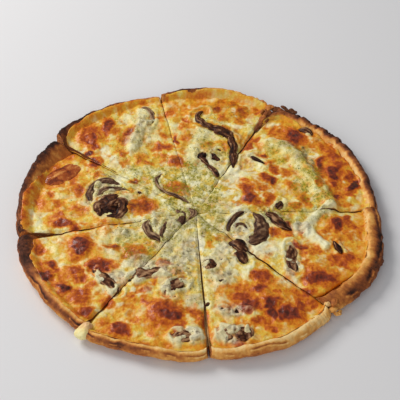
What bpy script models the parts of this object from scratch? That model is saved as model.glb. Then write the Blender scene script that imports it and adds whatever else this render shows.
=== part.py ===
"""Beef pizza with a thin crust, cut into eight slices that lie together.

Every slice is a crust with an upturned rim and a layer of melted cheese.
Beef, mushroom and tomato pieces rest on the cheese.
The origin is the centre of the flat underside. Angles run from +X, seen from above.
"""
import math
import random
from collections import namedtuple

import bmesh
import bpy
from mathutils import Matrix, Vector

MM = 0.001
GAP = 0.3 * MM
TOPPING_GAP = 0.4 * MM
MERGE_DISTANCE = 0.01 * MM

# The sizes below are measured about this middle, so that the box's centre is the origin
MIDDLE = Vector((-0.866 * MM, -2.638 * MM, 0.0))

# The cuts and the layers
CUT_CENTRE = Vector((-2.4 * MM, -0.7 * MM))
KERF = 0.9 * MM
TIP_RADIUS = 1.5 * MM
CRUST_THICKNESS = 4.5 * MM
CHEESE_LEVEL = 8.8 * MM
CHEESE_EDGE = 0.8 * MM
MOUND_HEIGHT = 1.6 * MM
WAVE_HEIGHT = 0.55 * MM
WAVE_LENGTH = 35.0 * MM

# The rim
FOOT_TUCK = 4.0 * MM
BULGE_HEIGHT = 0.58
RIM_RIPPLE = 0.8 * MM
CORNER_REACH = 9.0 * MM
CORNER_DROP = 0.9 * MM

# How finely the sections are divided
SECTION_ANGLE = 6.0
WIDE_CORNER = 10.0
WIDE_CORNER_ANGLES = (3.4, 1.4)
WALL_STEPS = 3
SLOPE_STEPS = 5
CHEESE_STEPS = 11

# The toppings' shapes, as shares of their own sizes
ROOM_TOP = 45.0 * MM
STRIP_END_TAPER = 0.6
STRIP_LIFT = 0.25
LUMP_UNEVENNESS = 0.12
LUMP_WAVE_LENGTHS = (11.4 * MM, 10.5 * MM, 7.0 * MM)
LUMP_LIFT = 0.2
LUMP_SEGMENTS = 12
LUMP_RINGS = 7
MUSHROOM_POINTS = 14
MUSHROOM_CAP_SWEEP = 226
MUSHROOM_ROUNDING = 0.22
MUSHROOM_LIFT = 0.3
STEM_TOP = 0.42
STEM_FOOT = 0.34

# Outer radius, rim height, lip and slope are given along the rim, counter-clockwise.
# The lip is the crest's distance from the outer edge, and the slope is the inner wall's width.
# Climb is how many of the wall's SLOPE_STEPS the cheese covers. Corners are how far the ends pull in.
Slice = namedtuple("Slice", "name start end outer height lip slope climb corners")
SLICES = (
    Slice("north_east", 4.1, 63.6, (153, 157, 154), (13, 14, 13), (5, 7), (9, 9), 2, (1, 17)),
    Slice("north", 64.2, 104.3, (152, 156, 152), (14, 16, 13.5), (2, 2), (10, 11), 2, (2, 1)),
    Slice("north_west", 104.6, 148.0, (152, 155, 155), (11, 13, 17), (2, 2.5), (12, 17), 3, (1, 1)),
    Slice("west", 148.6, 193.9, (153, 152, 152), (17, 17, 14), (3, 3), (20, 19), 3, (2, 1)),
    Slice("south_west", 194.2, 236.5, (153, 154, 153), (14, 13, 12), (6, 6), (17, 10), 2, (1, 2)),
    Slice("south", 236.7, 275.4, (156, 151, 149), (12, 12, 12), (5, 4), (7, 7), 2, (1, 3)),
    Slice("south_east", 276.3, 317.7, (149, 151, 150), (12, 13, 13), (5, 6), (7, 7), 2, (3, 3)),
    Slice("east", 318.2, 363.9, (150, 158, 153), (13, 14, 14), (13, 10), (7, 7), 2, (4, 1)),
)

# Swellings of the cheese over what lies beneath it: x, y, radius and share of MOUND_HEIGHT
MOUNDS = (
    (-54, 104, 12, 1.3), (-22, 66, 13, 0.9), (-98, 90, 16, 1.1), (20, 128, 16, 0.8),
    (75, 80, 14, 1.2), (98, 42, 13, 1.5), (120, 58, 15, 1.2), (44, 24, 15, 1.0),
    (112, -10, 14, 1.1), (102, -63, 13, 1.2), (60, -42, 15, 1.2), (56, -92, 18, 1.1),
    (20, -86, 13, 0.8), (-22, -108, 16, 1.3), (-94, -43, 11, 1.5), (-76, 2, 18, 1.2),
    (-104, -84, 14, 0.9), (-30, -14, 14, 1.3), (-120, -4, 14, 0.7), (104, 100, 12, 0.8),
)

# Beef strips: name, slice, half width, half thickness and the path's points
BEEF_STRIPS = (
    ("beef_long_upper", "north", 3.6, 2.8,
     ((0, 126), (-5, 120), (-1, 113), (8, 107), (17, 101), (25, 96), (28, 90))),
    ("beef_long_lower", "north", 2.4, 3.2, ((28, 85), (29.5, 75), (29, 64), (28.5, 54))),
    ("beef_north_hook", "north", 2.2, 2.2, ((8, 56), (12, 50), (16, 43))),
    ("beef_rim_arc", "north_east", 2.8, 2.4, ((90, 107), (95, 106), (99, 101))),
    ("beef_inner_streak", "north_east", 2.1, 2.2, ((47, 67), (51, 64), (55, 60.5))),
    ("beef_cut_tip", "north_east", 1.9, 2.4, ((69, 15), (68, 11), (66, 6.5))),
    ("beef_cut_strip", "east", 2.8, 2.6, ((59, 1), (62, -5), (69, -11), (76, -16))),
    ("beef_upright", "east", 3.5, 3.0, ((77, -39), (76, -49), (76, -59))),
    ("beef_pepper_dark", "east", 2.0, 2.0, ((112.5, -31), (115, -35), (117, -39))),
    ("beef_dark_strip", "east", 4.0, 2.8, ((30, -31), (34, -37), (40, -41.5))),
    ("beef_brown_strip", "south_east", 4.2, 2.8, ((31, -41), (34, -47), (38, -53))),
    ("beef_left_streak", "south_west", 3.0, 2.4, ((-80, -70), (-74, -75), (-68, -80), (-62, -88))),
    ("beef_south_ridge", "south", 3.8, 2.8, ((-48, -72), (-41, -70), (-33, -69), (-25, -67))),
    ("beef_south_hook", "south", 3.8, 2.6, ((-22, -87), (-18, -81), (-11, -77))),
)

# Beef lumps: name, slice, place, full length, width and thickness, and turn in degrees
BEEF_LUMPS = (
    ("beef_north_bits", "north", (2, 68), (10, 9, 5), 0),
    ("beef_north_fleck", "north", (12, 66), (11, 5, 4.5), -42),
    ("beef_large", "west", (-76, 2), (24, 28, 9), 12),
    ("beef_grey_chunk", "east", (85, -13), (8, 8, 5), 20),
    ("beef_round", "south_east", (11, -58), (10.5, 10, 5.5), 0),
    ("beef_rim_dark", "south_east", (38, -126), (12, 15, 8), -15),
    ("beef_rim_pale", "south_east", (25, -125), (13, 16, 7), 10),
    ("beef_rim_south", "south", (-6, -129), (22, 13, 7), 12),
)

# Mushroom slices: name, slice, place, full size, turn in degrees and the stem's share of the length
MUSHROOMS = (
    ("mushroom_dark", "east", (41, -19), (28, 37, 5.5), 14, 0.0),
    ("mushroom_arc", "west", (-82, 19), (28, 22, 4), 45, 0.35),
    ("mushroom_upper", "north_west", (-51, 114), (17, 23, 4.5), 6, 0.45),
    ("mushroom_middle", "south_west", (-35, -23), (13, 23, 4), 8, 0.0),
    ("mushroom_heart", "south_west", (-21, -12), (15, 17, 4), 150, 0.3),
    ("mushroom_inner", "north_west", (-27, 28), (30, 24, 3.5), 140, 0.35),
)

# The tomato slice, given as the beef lumps are
TOMATO = ("tomato_slice", "west", (-119, 38), (36, 19, 3.6), 38)

# The drip of cheese over the rim, where two slices meet
DRIP_ANGLE = 236.6
DRIP_SIZE = (8.4 * MM, 12.0 * MM, 10.0 * MM)
DRIP_INSET = 1.8 * MM
DRIP_DEPTH = 3.0 * MM
DRIP_SEGMENTS = 14
DRIP_RINGS = 9
DRIP_NEIGHBOURS = ("crust_south_west", "crust_south", "cheese_south_west", "cheese_south")

# Colour, roughness and metallic value of each material
CRUST_LOOK = ((0.46, 0.24, 0.09, 1.0), 0.80, 0.0)
CHEESE_LOOK = ((0.80, 0.60, 0.22, 1.0), 0.42, 0.0)
BEEF_LOOK = ((0.10, 0.045, 0.035, 1.0), 0.45, 0.0)
MUSHROOM_LOOK = ((0.36, 0.27, 0.16, 1.0), 0.50, 0.0)
TOMATO_LOOK = ((0.50, 0.13, 0.03, 1.0), 0.35, 0.0)
CREAM_LOOK = ((0.90, 0.80, 0.52, 1.0), 0.40, 0.0)


def clear_scene():
    for item in list(bpy.data.objects):
        bpy.data.objects.remove(item, do_unlink=True)


def make_collection(name):
    group = bpy.data.collections.new(name)
    bpy.context.scene.collection.children.link(group)
    return group


def make_material(name, look):
    colour, roughness, metallic = look
    material = bpy.data.materials.new(name)
    material.use_nodes = True
    shader = material.node_tree.nodes["Principled BSDF"]
    shader.inputs["Base Color"].default_value = colour
    shader.inputs["Roughness"].default_value = roughness
    shader.inputs["Metallic"].default_value = metallic
    return material


def direction(degrees):
    angle = math.radians(degrees)
    return Vector((math.cos(angle), math.sin(angle)))


def along(values, share):
    """Blend smoothly through evenly spaced values, at a share from 0 to 1."""
    place = min(max(share, 0.0), 1.0) * (len(values) - 1)
    index = min(int(place), len(values) - 2)
    blend = place - index
    blend = blend * blend * (3 - 2 * blend)
    return values[index] * (1 - blend) + values[index + 1] * blend


def ripple(degrees, phase):
    """An uneven wave around the pizza, between about -1 and 1."""
    angle = math.radians(degrees)
    return (math.sin(11 * angle + phase) + 0.6 * math.sin(23 * angle + 2.3 * phase)
            + 0.4 * math.sin(41 * angle + 4.1 * phase)) / 2


def apex(piece):
    """The slice's tip, set back from the cuts by half the kerf."""
    half_angle = math.radians(piece.end - piece.start) / 2
    middle = direction((piece.start + piece.end) / 2)
    return CUT_CENTRE + middle * (KERF / 2 / math.sin(half_angle))


def ray_length(origin, heading, radius):
    """Length of a ray from near the centre out to a circle about the origin."""
    forward = origin.dot(heading)
    return -forward + math.sqrt(forward * forward - origin.length_squared + radius * radius)


Rim = namedtuple("Rim", "reach height lip slope")


def rim_at(piece, degrees):
    """The rim's sizes where a slice's ray at this angle meets it."""
    share = (degrees - piece.start) / (piece.end - piece.start)
    outer = along(piece.outer, share) * MM + RIM_RIPPLE * ripple(degrees, 0.4)
    width = math.radians(piece.end - piece.start) * outer
    for corner, distance in zip(piece.corners, (share * width, (1 - share) * width)):
        reach = max(CORNER_REACH, corner * MM)
        outer -= corner * MM * max(0.0, 1 - distance / reach) ** 2
    height = along(piece.height, share) * MM + RIM_RIPPLE * ripple(degrees, 2.1)
    height -= CORNER_DROP * math.exp(-min(share, 1 - share) * width / CORNER_REACH)
    reach = ray_length(apex(piece), direction(degrees), outer)
    return Rim(reach, height, along(piece.lip, share) * MM, along(piece.slope, share) * MM)


def wall_height(rim, share):
    """Height of the inner wall at a share of its width, from crest to floor."""
    drop = 0.5 - 0.5 * math.cos(math.pi * share)
    return rim.height + (CRUST_THICKNESS - rim.height) * drop


def crust_section(_piece, rim, _degrees):
    """The crust's outline as pairs of length along the ray and height."""
    foot = rim.lip + FOOT_TUCK
    bulge = rim.height * BULGE_HEIGHT
    outline = [(TIP_RADIUS, 0.0), (rim.reach * 0.5, 0.0)]
    for step in range(WALL_STEPS + 1):
        turn = math.pi / 2 * step / WALL_STEPS
        outline.append((rim.reach - foot * (1 - math.sin(turn)), bulge * (1 - math.cos(turn))))
    for step in range(1, WALL_STEPS + 1):
        turn = math.pi / 2 * step / WALL_STEPS
        rise = (rim.height - bulge) * math.sin(turn)
        outline.append((rim.reach - rim.lip * (1 - math.cos(turn)), bulge + rise))
    for step in range(1, SLOPE_STEPS + 1):
        share = step / SLOPE_STEPS
        outline.append((rim.reach - rim.lip - rim.slope * share, wall_height(rim, share)))
    outline += [(rim.reach * 0.5, CRUST_THICKNESS), (TIP_RADIUS, CRUST_THICKNESS)]
    return outline


def cheese_level(place):
    """Height of the open cheese at a place, with its swellings and small waves."""
    swell = 0.0
    for x, y, radius, share in MOUNDS:
        distance = (place - Vector((x * MM, y * MM))).length / (radius * MM)
        swell += share * math.exp(-distance * distance)
    x_turn, y_turn = place * (2 * math.pi / WAVE_LENGTH)
    wave = math.sin(x_turn + math.sin(0.7 * y_turn)) * math.sin(y_turn + 0.7)
    return CHEESE_LEVEL + MOUND_HEIGHT * swell + WAVE_HEIGHT * wave


def cheese_top(piece, rim, degrees, length):
    """Height of the cheese at a length along the ray, up its edge on the inner wall."""
    place = apex(piece) + direction(degrees) * length
    level = cheese_level(place)
    share = (rim.reach - rim.lip - length) / rim.slope
    if share >= 1:
        return level
    return max(level, wall_height(rim, max(share, 0.0)) + CHEESE_EDGE)


def cheese_edge(piece, rim):
    """Length along the ray to the cheese's upper edge."""
    covered = 1 - piece.climb / SLOPE_STEPS
    return rim.reach - rim.lip - rim.slope * covered - GAP - CHEESE_EDGE


def cheese_section(piece, rim, degrees):
    """The cheese's outline, which lies on the crust with a hair's gap."""
    outline = [(TIP_RADIUS, CRUST_THICKNESS + GAP), (rim.reach * 0.5, CRUST_THICKNESS + GAP)]
    for step in range(piece.climb + 1):
        share = 1 - step / SLOPE_STEPS
        length = rim.reach - rim.lip - rim.slope * share - GAP
        outline.append((length, wall_height(rim, share) + GAP))
    edge = cheese_edge(piece, rim)
    for step in range(CHEESE_STEPS + 1):
        length = edge + (TIP_RADIUS - edge) * step / CHEESE_STEPS
        outline.append((length, cheese_top(piece, rim, degrees, length)))
    return outline


def room_section(piece, rim, degrees):
    """The free space above a slice, which is what a topping may fill."""
    crest = rim.reach - rim.lip
    edge = cheese_edge(piece, rim)
    outline = []
    for step in range(CHEESE_STEPS + 1):
        length = TIP_RADIUS + (edge - TIP_RADIUS) * step / CHEESE_STEPS
        outline.append((length, cheese_top(piece, rim, degrees, length) + GAP))
    outline.append((crest, rim.height + CHEESE_EDGE + GAP))
    outline += [(crest, ROOM_TOP), (TIP_RADIUS, ROOM_TOP)]
    return outline


def section_angles(piece):
    """Angles of a slice's sections, closer together in a wide corner at its end."""
    count = round((piece.end - piece.start) / SECTION_ANGLE)
    angles = [piece.start + (piece.end - piece.start) * i / count for i in range(count + 1)]
    if piece.corners[1] > WIDE_CORNER:
        angles[-1:-1] = [piece.end - before for before in WIDE_CORNER_ANGLES]
    return angles


def loft(name, sections):
    """Join equal closed sections into one solid with flat ends."""
    shape = bmesh.new()
    loops = [[shape.verts.new(point) for point in section] for section in sections]
    size = len(loops[0])
    for first, second in zip(loops, loops[1:]):
        for i in range(size):
            after = (i + 1) % size
            shape.faces.new((first[i], second[i], second[after], first[after]))
    shape.faces.new(loops[0])
    shape.faces.new(reversed(loops[-1]))
    bmesh.ops.recalc_face_normals(shape, faces=shape.faces)
    bmesh.ops.triangulate(shape, faces=shape.faces)
    mesh = bpy.data.meshes.new(name)
    shape.to_mesh(mesh)
    shape.free()
    return mesh


def slice_mesh(name, piece, section):
    """Loft a slice from the outline that the given function makes at each angle."""
    tip = apex(piece)
    sections = []
    for degrees in section_angles(piece):
        heading = direction(degrees)
        outline = section(piece, rim_at(piece, degrees), degrees)
        sections.append([(*(tip + heading * length), height) for length, height in outline])
    return loft(name, sections)


def add_object(name, mesh, material, group):
    item = bpy.data.objects.new(name, mesh)
    item.location = MIDDLE
    if material:
        mesh.materials.append(material)
    group.objects.link(item)
    return item


def as_cutter(item):
    item.hide_render = True
    item.display_type = "WIRE"
    return item


def add_boolean(item, cutter, operation):
    modifier = item.modifiers.new(operation.title(), "BOOLEAN")
    modifier.operation = operation
    modifier.solver = "EXACT"
    modifier.object = cutter


def boxes_meet(first, second):
    """Whether the boxes around two meshes meet."""
    for axis in range(3):
        one = [point.co[axis] for point in first.vertices]
        two = [point.co[axis] for point in second.vertices]
        if min(one) > max(two) + GAP or min(two) > max(one) + GAP:
            return False
    return True


def grown_copy(mesh, distance):
    """A copy of a closed mesh, pushed outwards."""
    copy = mesh.copy()
    copy.name = "cutter_" + mesh.name
    normals = [point.normal.copy() for point in copy.vertices]
    for point, normal in zip(copy.vertices, normals):
        point.co += normal * distance
    copy.materials.clear()
    return copy


def find_slice(name):
    return next(piece for piece in SLICES if piece.name == name)


def surface_height(piece, place):
    """Height of the slice's cheese at a place seen from above."""
    offset = place - apex(piece)
    degrees = math.degrees(math.atan2(offset.y, offset.x)) % 360
    if degrees < piece.start:
        degrees += 360
    return cheese_top(piece, rim_at(piece, degrees), degrees, offset.length)


def roughen(mesh, seed, depth):
    """Push the points along their normals by a seeded, smooth unevenness."""
    chance = random.Random(seed)
    phases = [chance.uniform(0, 2 * math.pi) for _ in LUMP_WAVE_LENGTHS]
    normals = [point.normal.copy() for point in mesh.vertices]
    for point, normal in zip(mesh.vertices, normals):
        x, y, z = point.co
        turns = [2 * math.pi * place / length
                 for place, length in zip((x, y, x + y + z), LUMP_WAVE_LENGTHS)]
        wave = sum(math.sin(turn + phase) for turn, phase in zip(turns, phases))
        point.co += normal * depth * wave / len(phases)


def weld(mesh):
    """Join a curve's loose caps to its sides."""
    shape = bmesh.new()
    shape.from_mesh(mesh)
    bmesh.ops.remove_doubles(shape, verts=shape.verts, dist=MERGE_DISTANCE)
    bmesh.ops.recalc_face_normals(shape, faces=shape.faces)
    shape.to_mesh(mesh)
    shape.free()


def mesh_from_curve(curve):
    holder = bpy.data.objects.new(curve.name, curve)
    bpy.context.scene.collection.objects.link(holder)
    graph = bpy.context.evaluated_depsgraph_get()
    mesh = bpy.data.meshes.new_from_object(holder.evaluated_get(graph))
    mesh.name = curve.name
    bpy.data.objects.remove(holder)
    weld(mesh)
    return mesh


def ball_mesh(name, size, segments, rings):
    """A ball stretched to a full size along each axis."""
    shape = bmesh.new()
    bmesh.ops.create_uvsphere(shape, u_segments=segments, v_segments=rings, radius=0.5)
    mesh = bpy.data.meshes.new(name)
    shape.to_mesh(mesh)
    shape.free()
    mesh.transform(Matrix.Diagonal((*size, 1.0)))
    return mesh


def strip_mesh(name, piece, half_width, half_thickness, path):
    """A flattened, tapered strip that follows the cheese along its path."""
    curve = bpy.data.curves.new(name, "CURVE")
    curve.dimensions = "3D"
    curve.bevel_depth = half_width * MM
    curve.bevel_resolution = 2
    curve.use_fill_caps = True
    curve.resolution_u = 3
    spline = curve.splines.new("NURBS")
    spline.points.add(len(path) - 1)
    spline.use_endpoint_u = True
    spline.order_u = 3
    for (x, y), point in zip(path, spline.points):
        point.co = (x * MM, y * MM, 0.0, 1.0)
    for end in (spline.points[0], spline.points[-1]):
        end.radius = STRIP_END_TAPER
    mesh = mesh_from_curve(curve)
    for point in mesh.vertices:
        base = surface_height(piece, point.co.xy)
        squeezed = point.co.z * half_thickness / half_width
        point.co.z = base + squeezed + half_thickness * STRIP_LIFT * MM
    return mesh


def place_on_cheese(mesh, piece, place, turn, lift):
    """Turn a mesh, move it to its place and bend it to the cheese's height."""
    spin = Matrix.Rotation(math.radians(turn), 4, "Z")
    mesh.transform(Matrix.Translation((place[0] * MM, place[1] * MM, 0.0)) @ spin)
    for point in mesh.vertices:
        point.co.z += surface_height(piece, point.co.xy) + lift


def lump_mesh(name, piece, place, size, turn):
    """A rounded, uneven chunk."""
    mesh = ball_mesh(name, [side * MM for side in size], LUMP_SEGMENTS, LUMP_RINGS)
    roughen(mesh, name, LUMP_UNEVENNESS * min(size) * MM)
    place_on_cheese(mesh, piece, place, turn, size[2] * LUMP_LIFT * MM)
    return mesh


def mushroom_outline(width, length, stem):
    """A sliced mushroom from above: a round cap, over a stem if it has one."""
    cap_half = 1 - stem
    sweep = MUSHROOM_CAP_SWEEP if stem else 360 * (1 - 1 / MUSHROOM_POINTS)
    turns = [math.radians(90 + sweep * (i / (MUSHROOM_POINTS - 1) - 0.5)) for i in range(MUSHROOM_POINTS)]
    outline = [(math.cos(turn), cap_half * math.sin(turn) + stem) for turn in turns]
    if stem:
        low = outline[0][1]
        outline += [(-STEM_TOP, low), (-STEM_FOOT, -1.0), (STEM_FOOT, -1.0), (STEM_TOP, low)]
    return [Vector((x * width / 2, y * length / 2)) * MM for x, y in outline]


def mushroom_mesh(name, piece, place, size, turn, stem):
    """A flat slice with softened edges, cut from its outline."""
    width, length, thickness = size
    curve = bpy.data.curves.new(name, "CURVE")
    curve.dimensions = "2D"
    curve.fill_mode = "BOTH"
    curve.extrude = thickness * (0.5 - MUSHROOM_ROUNDING) * MM
    curve.bevel_depth = thickness * MUSHROOM_ROUNDING * MM
    curve.bevel_resolution = 1
    outline = mushroom_outline(width, length, stem)
    spline = curve.splines.new("POLY")
    spline.points.add(len(outline) - 1)
    spline.use_cyclic_u = True
    for point, corner in zip(spline.points, outline):
        point.co = (corner.x, corner.y, 0.0, 1.0)
    mesh = mesh_from_curve(curve)
    place_on_cheese(mesh, piece, place, turn, thickness * MUSHROOM_LIFT * MM)
    return mesh


def drip_mesh(name):
    """A blob of cheese that has run over the crest and hangs on the outer wall."""
    south = find_slice("south")
    rim = rim_at(south, south.start)
    middle = direction(DRIP_ANGLE) * (rim.reach - DRIP_INSET)
    mesh = ball_mesh(name, DRIP_SIZE, DRIP_SEGMENTS, DRIP_RINGS)
    mesh.transform(Matrix.Rotation(math.radians(DRIP_ANGLE), 4, "Z"))
    mesh.transform(Matrix.Translation((middle.x, middle.y, rim.height - DRIP_DEPTH)))
    return mesh


def keep_clear(item, mesh, cutters):
    """Cut an object back from a neighbour's mesh, with a gap between them."""
    grown = grown_copy(mesh, TOPPING_GAP)
    cutter = as_cutter(add_object(grown.name, grown, None, cutters))
    add_boolean(item, cutter, "DIFFERENCE")


def build_slices(group, cutters):
    """Make each slice's crust and cheese, and the cutter for the room above it."""
    crust = make_material("baked_crust", CRUST_LOOK)
    cheese = make_material("melted_cheese", CHEESE_LOOK)
    rooms = {}
    for piece in SLICES:
        base = slice_mesh("crust_" + piece.name, piece, crust_section)
        add_object(base.name, base, crust, group)
        layer = slice_mesh("cheese_" + piece.name, piece, cheese_section)
        add_object(layer.name, layer, cheese, group)
        room = slice_mesh("cutter_room_" + piece.name, piece, room_section)
        rooms[piece.name] = as_cutter(add_object(room.name, room, None, cutters))
    return rooms


def topping_meshes():
    """Each topping's slice, mesh and material."""
    beef = make_material("cooked_beef", BEEF_LOOK)
    mushroom = make_material("cooked_mushroom", MUSHROOM_LOOK)
    tomato = make_material("baked_tomato", TOMATO_LOOK)
    for name, slice_name, *shape in BEEF_STRIPS:
        yield slice_name, strip_mesh(name, find_slice(slice_name), *shape), beef
    for name, slice_name, *shape in BEEF_LUMPS:
        yield slice_name, lump_mesh(name, find_slice(slice_name), *shape), beef
    for name, slice_name, *shape in MUSHROOMS:
        yield slice_name, mushroom_mesh(name, find_slice(slice_name), *shape), mushroom
    name, slice_name, *shape = TOMATO
    yield slice_name, lump_mesh(name, find_slice(slice_name), *shape), tomato


def build_toppings(group, cutters, rooms):
    """Rest each topping on its slice, clear of those placed before it."""
    placed = []
    for slice_name, mesh, material in topping_meshes():
        item = add_object(mesh.name, mesh, material, group)
        add_boolean(item, rooms[slice_name], "INTERSECT")
        for neighbour in placed:
            if boxes_meet(mesh, neighbour):
                keep_clear(item, neighbour, cutters)
        placed.append(mesh)


def build_drip(group, cutters):
    cream = make_material("cream_cheese", CREAM_LOOK)
    drip = add_object("cheese_drip", drip_mesh("cheese_drip"), cream, group)
    for name in DRIP_NEIGHBOURS:
        keep_clear(drip, bpy.data.objects[name].data, cutters)


def build():
    clear_scene()
    group = make_collection("beef_pizza")
    cutters = make_collection("cutters")
    rooms = build_slices(group, cutters)
    build_toppings(group, cutters, rooms)
    build_drip(group, cutters)


build()
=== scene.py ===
"""Looks of the beef pizza: baked crusts, browned cheese, beef, mushrooms, tomato and herbs.

Sizes are in millimetres and angles in degrees. Angles run from +X, seen from above.
Places are measured about a point near the pizza's middle, and MIDDLE moves them into the frame.
"""

import itertools
import math
from collections import namedtuple

import bmesh
import bpy
import numpy as np
from mathutils import Matrix


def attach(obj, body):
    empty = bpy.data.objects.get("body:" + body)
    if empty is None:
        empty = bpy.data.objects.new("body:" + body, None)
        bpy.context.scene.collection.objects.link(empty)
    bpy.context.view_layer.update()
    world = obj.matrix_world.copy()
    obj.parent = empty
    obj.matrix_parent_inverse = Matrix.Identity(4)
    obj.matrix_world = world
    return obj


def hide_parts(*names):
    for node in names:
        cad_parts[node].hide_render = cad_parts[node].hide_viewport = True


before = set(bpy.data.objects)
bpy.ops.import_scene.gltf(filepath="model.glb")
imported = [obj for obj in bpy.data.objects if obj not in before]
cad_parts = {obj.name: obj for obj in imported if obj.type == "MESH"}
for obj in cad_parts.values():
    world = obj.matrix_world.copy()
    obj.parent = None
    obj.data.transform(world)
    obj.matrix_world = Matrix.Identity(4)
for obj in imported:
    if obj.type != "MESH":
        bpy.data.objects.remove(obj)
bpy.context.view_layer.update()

MM = 0.001
MIDDLE = np.array((-0.866, -2.638, 0.0))

# The cuts and the layers, where the frame has them
GAP = 0.3
CUT_CENTRE = np.array((-2.4, -0.7))
KERF = 0.9
TIP_RADIUS = 0.4
CRUST_THICKNESS = 4.5
CHEESE_LEVEL = 8.8
CHEESE_EDGE = 0.8
MOUND_HEIGHT = 1.6
WAVE_HEIGHT = 0.55
WAVE_LENGTH = 35.0

# The rim, where the frame has it
FOOT_TUCK = 4.0
BULGE_HEIGHT = 0.58
RIM_RIPPLE = 0.8
CORNER_REACH = 9.0
CORNER_DROP = 0.9
SLOPE_STEPS = 5

# Places round the crust's outline, from 0 at the foot to 1 at the widest point, 2 at the crest and
# 3 at the floor: the fold along the outer rim, and where the toasting and the roughness are given
FOLD_AT = 1.55
TOAST_KNOTS = (0, 0.8, 1.55, 2.03, 2.35, 3)
ROUGH_KNOTS = (0, 1, 2, 2.5, 3)
FOOT_TONE = 0.38

# How finely the surfaces are divided, and how near the poles of a ball its first rings lie
CHEESE_SPACING = 0.8
CRUST_SPACING = 0.8
UNDERSIDE_ROWS = 8
WALL_ROWS = 10
SLOPE_ROWS = 22
FLOOR_ROWS = 6
POLE_GAP = 0.06

Slice = namedtuple("Slice", "name start end outer height lip slope climb corners")
SLICES = (
    Slice("north_east", 4.1, 63.6, (153, 157, 154), (13, 14, 13), (5, 7), (9, 9), 2, (1, 17)),
    Slice("north", 64.2, 104.3, (152, 156, 152), (14, 16, 13.5), (2, 2), (10, 11), 2, (2, 1)),
    Slice("north_west", 104.6, 148.0, (152, 155, 155), (11, 13, 17), (2, 2.5), (12, 17), 3, (1, 1)),
    Slice("west", 148.6, 193.9, (153, 152, 152), (17, 17, 14), (3, 3), (20, 19), 3, (2, 1)),
    Slice("south_west", 194.2, 236.5, (153, 154, 153), (14, 13, 12), (6, 6), (17, 10), 2, (1, 2)),
    Slice("south", 236.7, 275.4, (156, 151, 149), (12, 12, 12), (5, 4), (7, 7), 2, (1, 3)),
    Slice("south_east", 276.3, 317.7, (149, 151, 150), (12, 13, 13), (5, 6), (7, 7), 2, (3, 3)),
    Slice("east", 318.2, 363.9, (150, 158, 153), (13, 14, 14), (13, 10), (7, 7), 2, (4, 1)),
)

# How open each slice's first cut is near the middle, halfway and at the rim; 1 is the full kerf
CUT_OPENNESS = {
    "north_east": (0.5, 0.3, 0.9), "north": (0.0, 0.6, 1.0), "north_west": (0.12, 0.1, 0.3),
    "west": (0.0, 0.1, 0.5), "south_west": (0.1, 0.6, 1.2), "south": (0.2, 0.5, 0.8),
    "south_east": (0.2, 0.6, 1.0), "east": (0.2, 0.8, 0.25),
}

# How far up the rim's inner wall the cheese has baked at even steps along each slice,
# from 1, the wall's foot, to 0, the crest
CHEESE_CLIMB = {
    "north_east": (0.3, 0.5, 0.5, 0.25), "north": (0.16, 0.1, 0.12, 0.12),
    "north_west": (0.06, 0.08, 0.12, 0.42),
    "west": (0.92, 0.5, 0.1, 0.1), "south_west": (0.5, 0.14, 0.06, 0.06), "south": (0.06, 0.12, 0.2, 0.2),
    "south_east": (0.2, 0.3, 0.3, 0.2), "east": (1.0, 0.9, 0.4, 0.4, 0.4),
}

# How browned the cheese is where it meets each slice's rim. The north slice's paler edge is partly the
# cheese's own colour and partly painted light, making up for the shade on its rim's inner wall
EDGE_TONES = {
    "north_east": 0.28, "north": 0.24, "north_west": 0.34, "west": 0.48,
    "south_west": 0.4, "south": 0.36, "south_east": 0.36, "east": 0.36,
}

# How far in from the rim that browning reaches, and how far in the painted shade in hollows and painted
# highlight on raised cheese take to fade in
RIM_BROWNING_WIDTH = 12.0
SHADE_AND_HIGHLIGHT_START = 14.0

# How far each slice's first cut gapes at the rim, besides its kerf
CUT_FLARES = {
    "north_east": 0.3, "north": 1.0, "north_west": 0.3, "west": 3.6,
    "south_west": 1.6, "south": 0.4, "south_east": 0.4, "east": 1.2,
}
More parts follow.
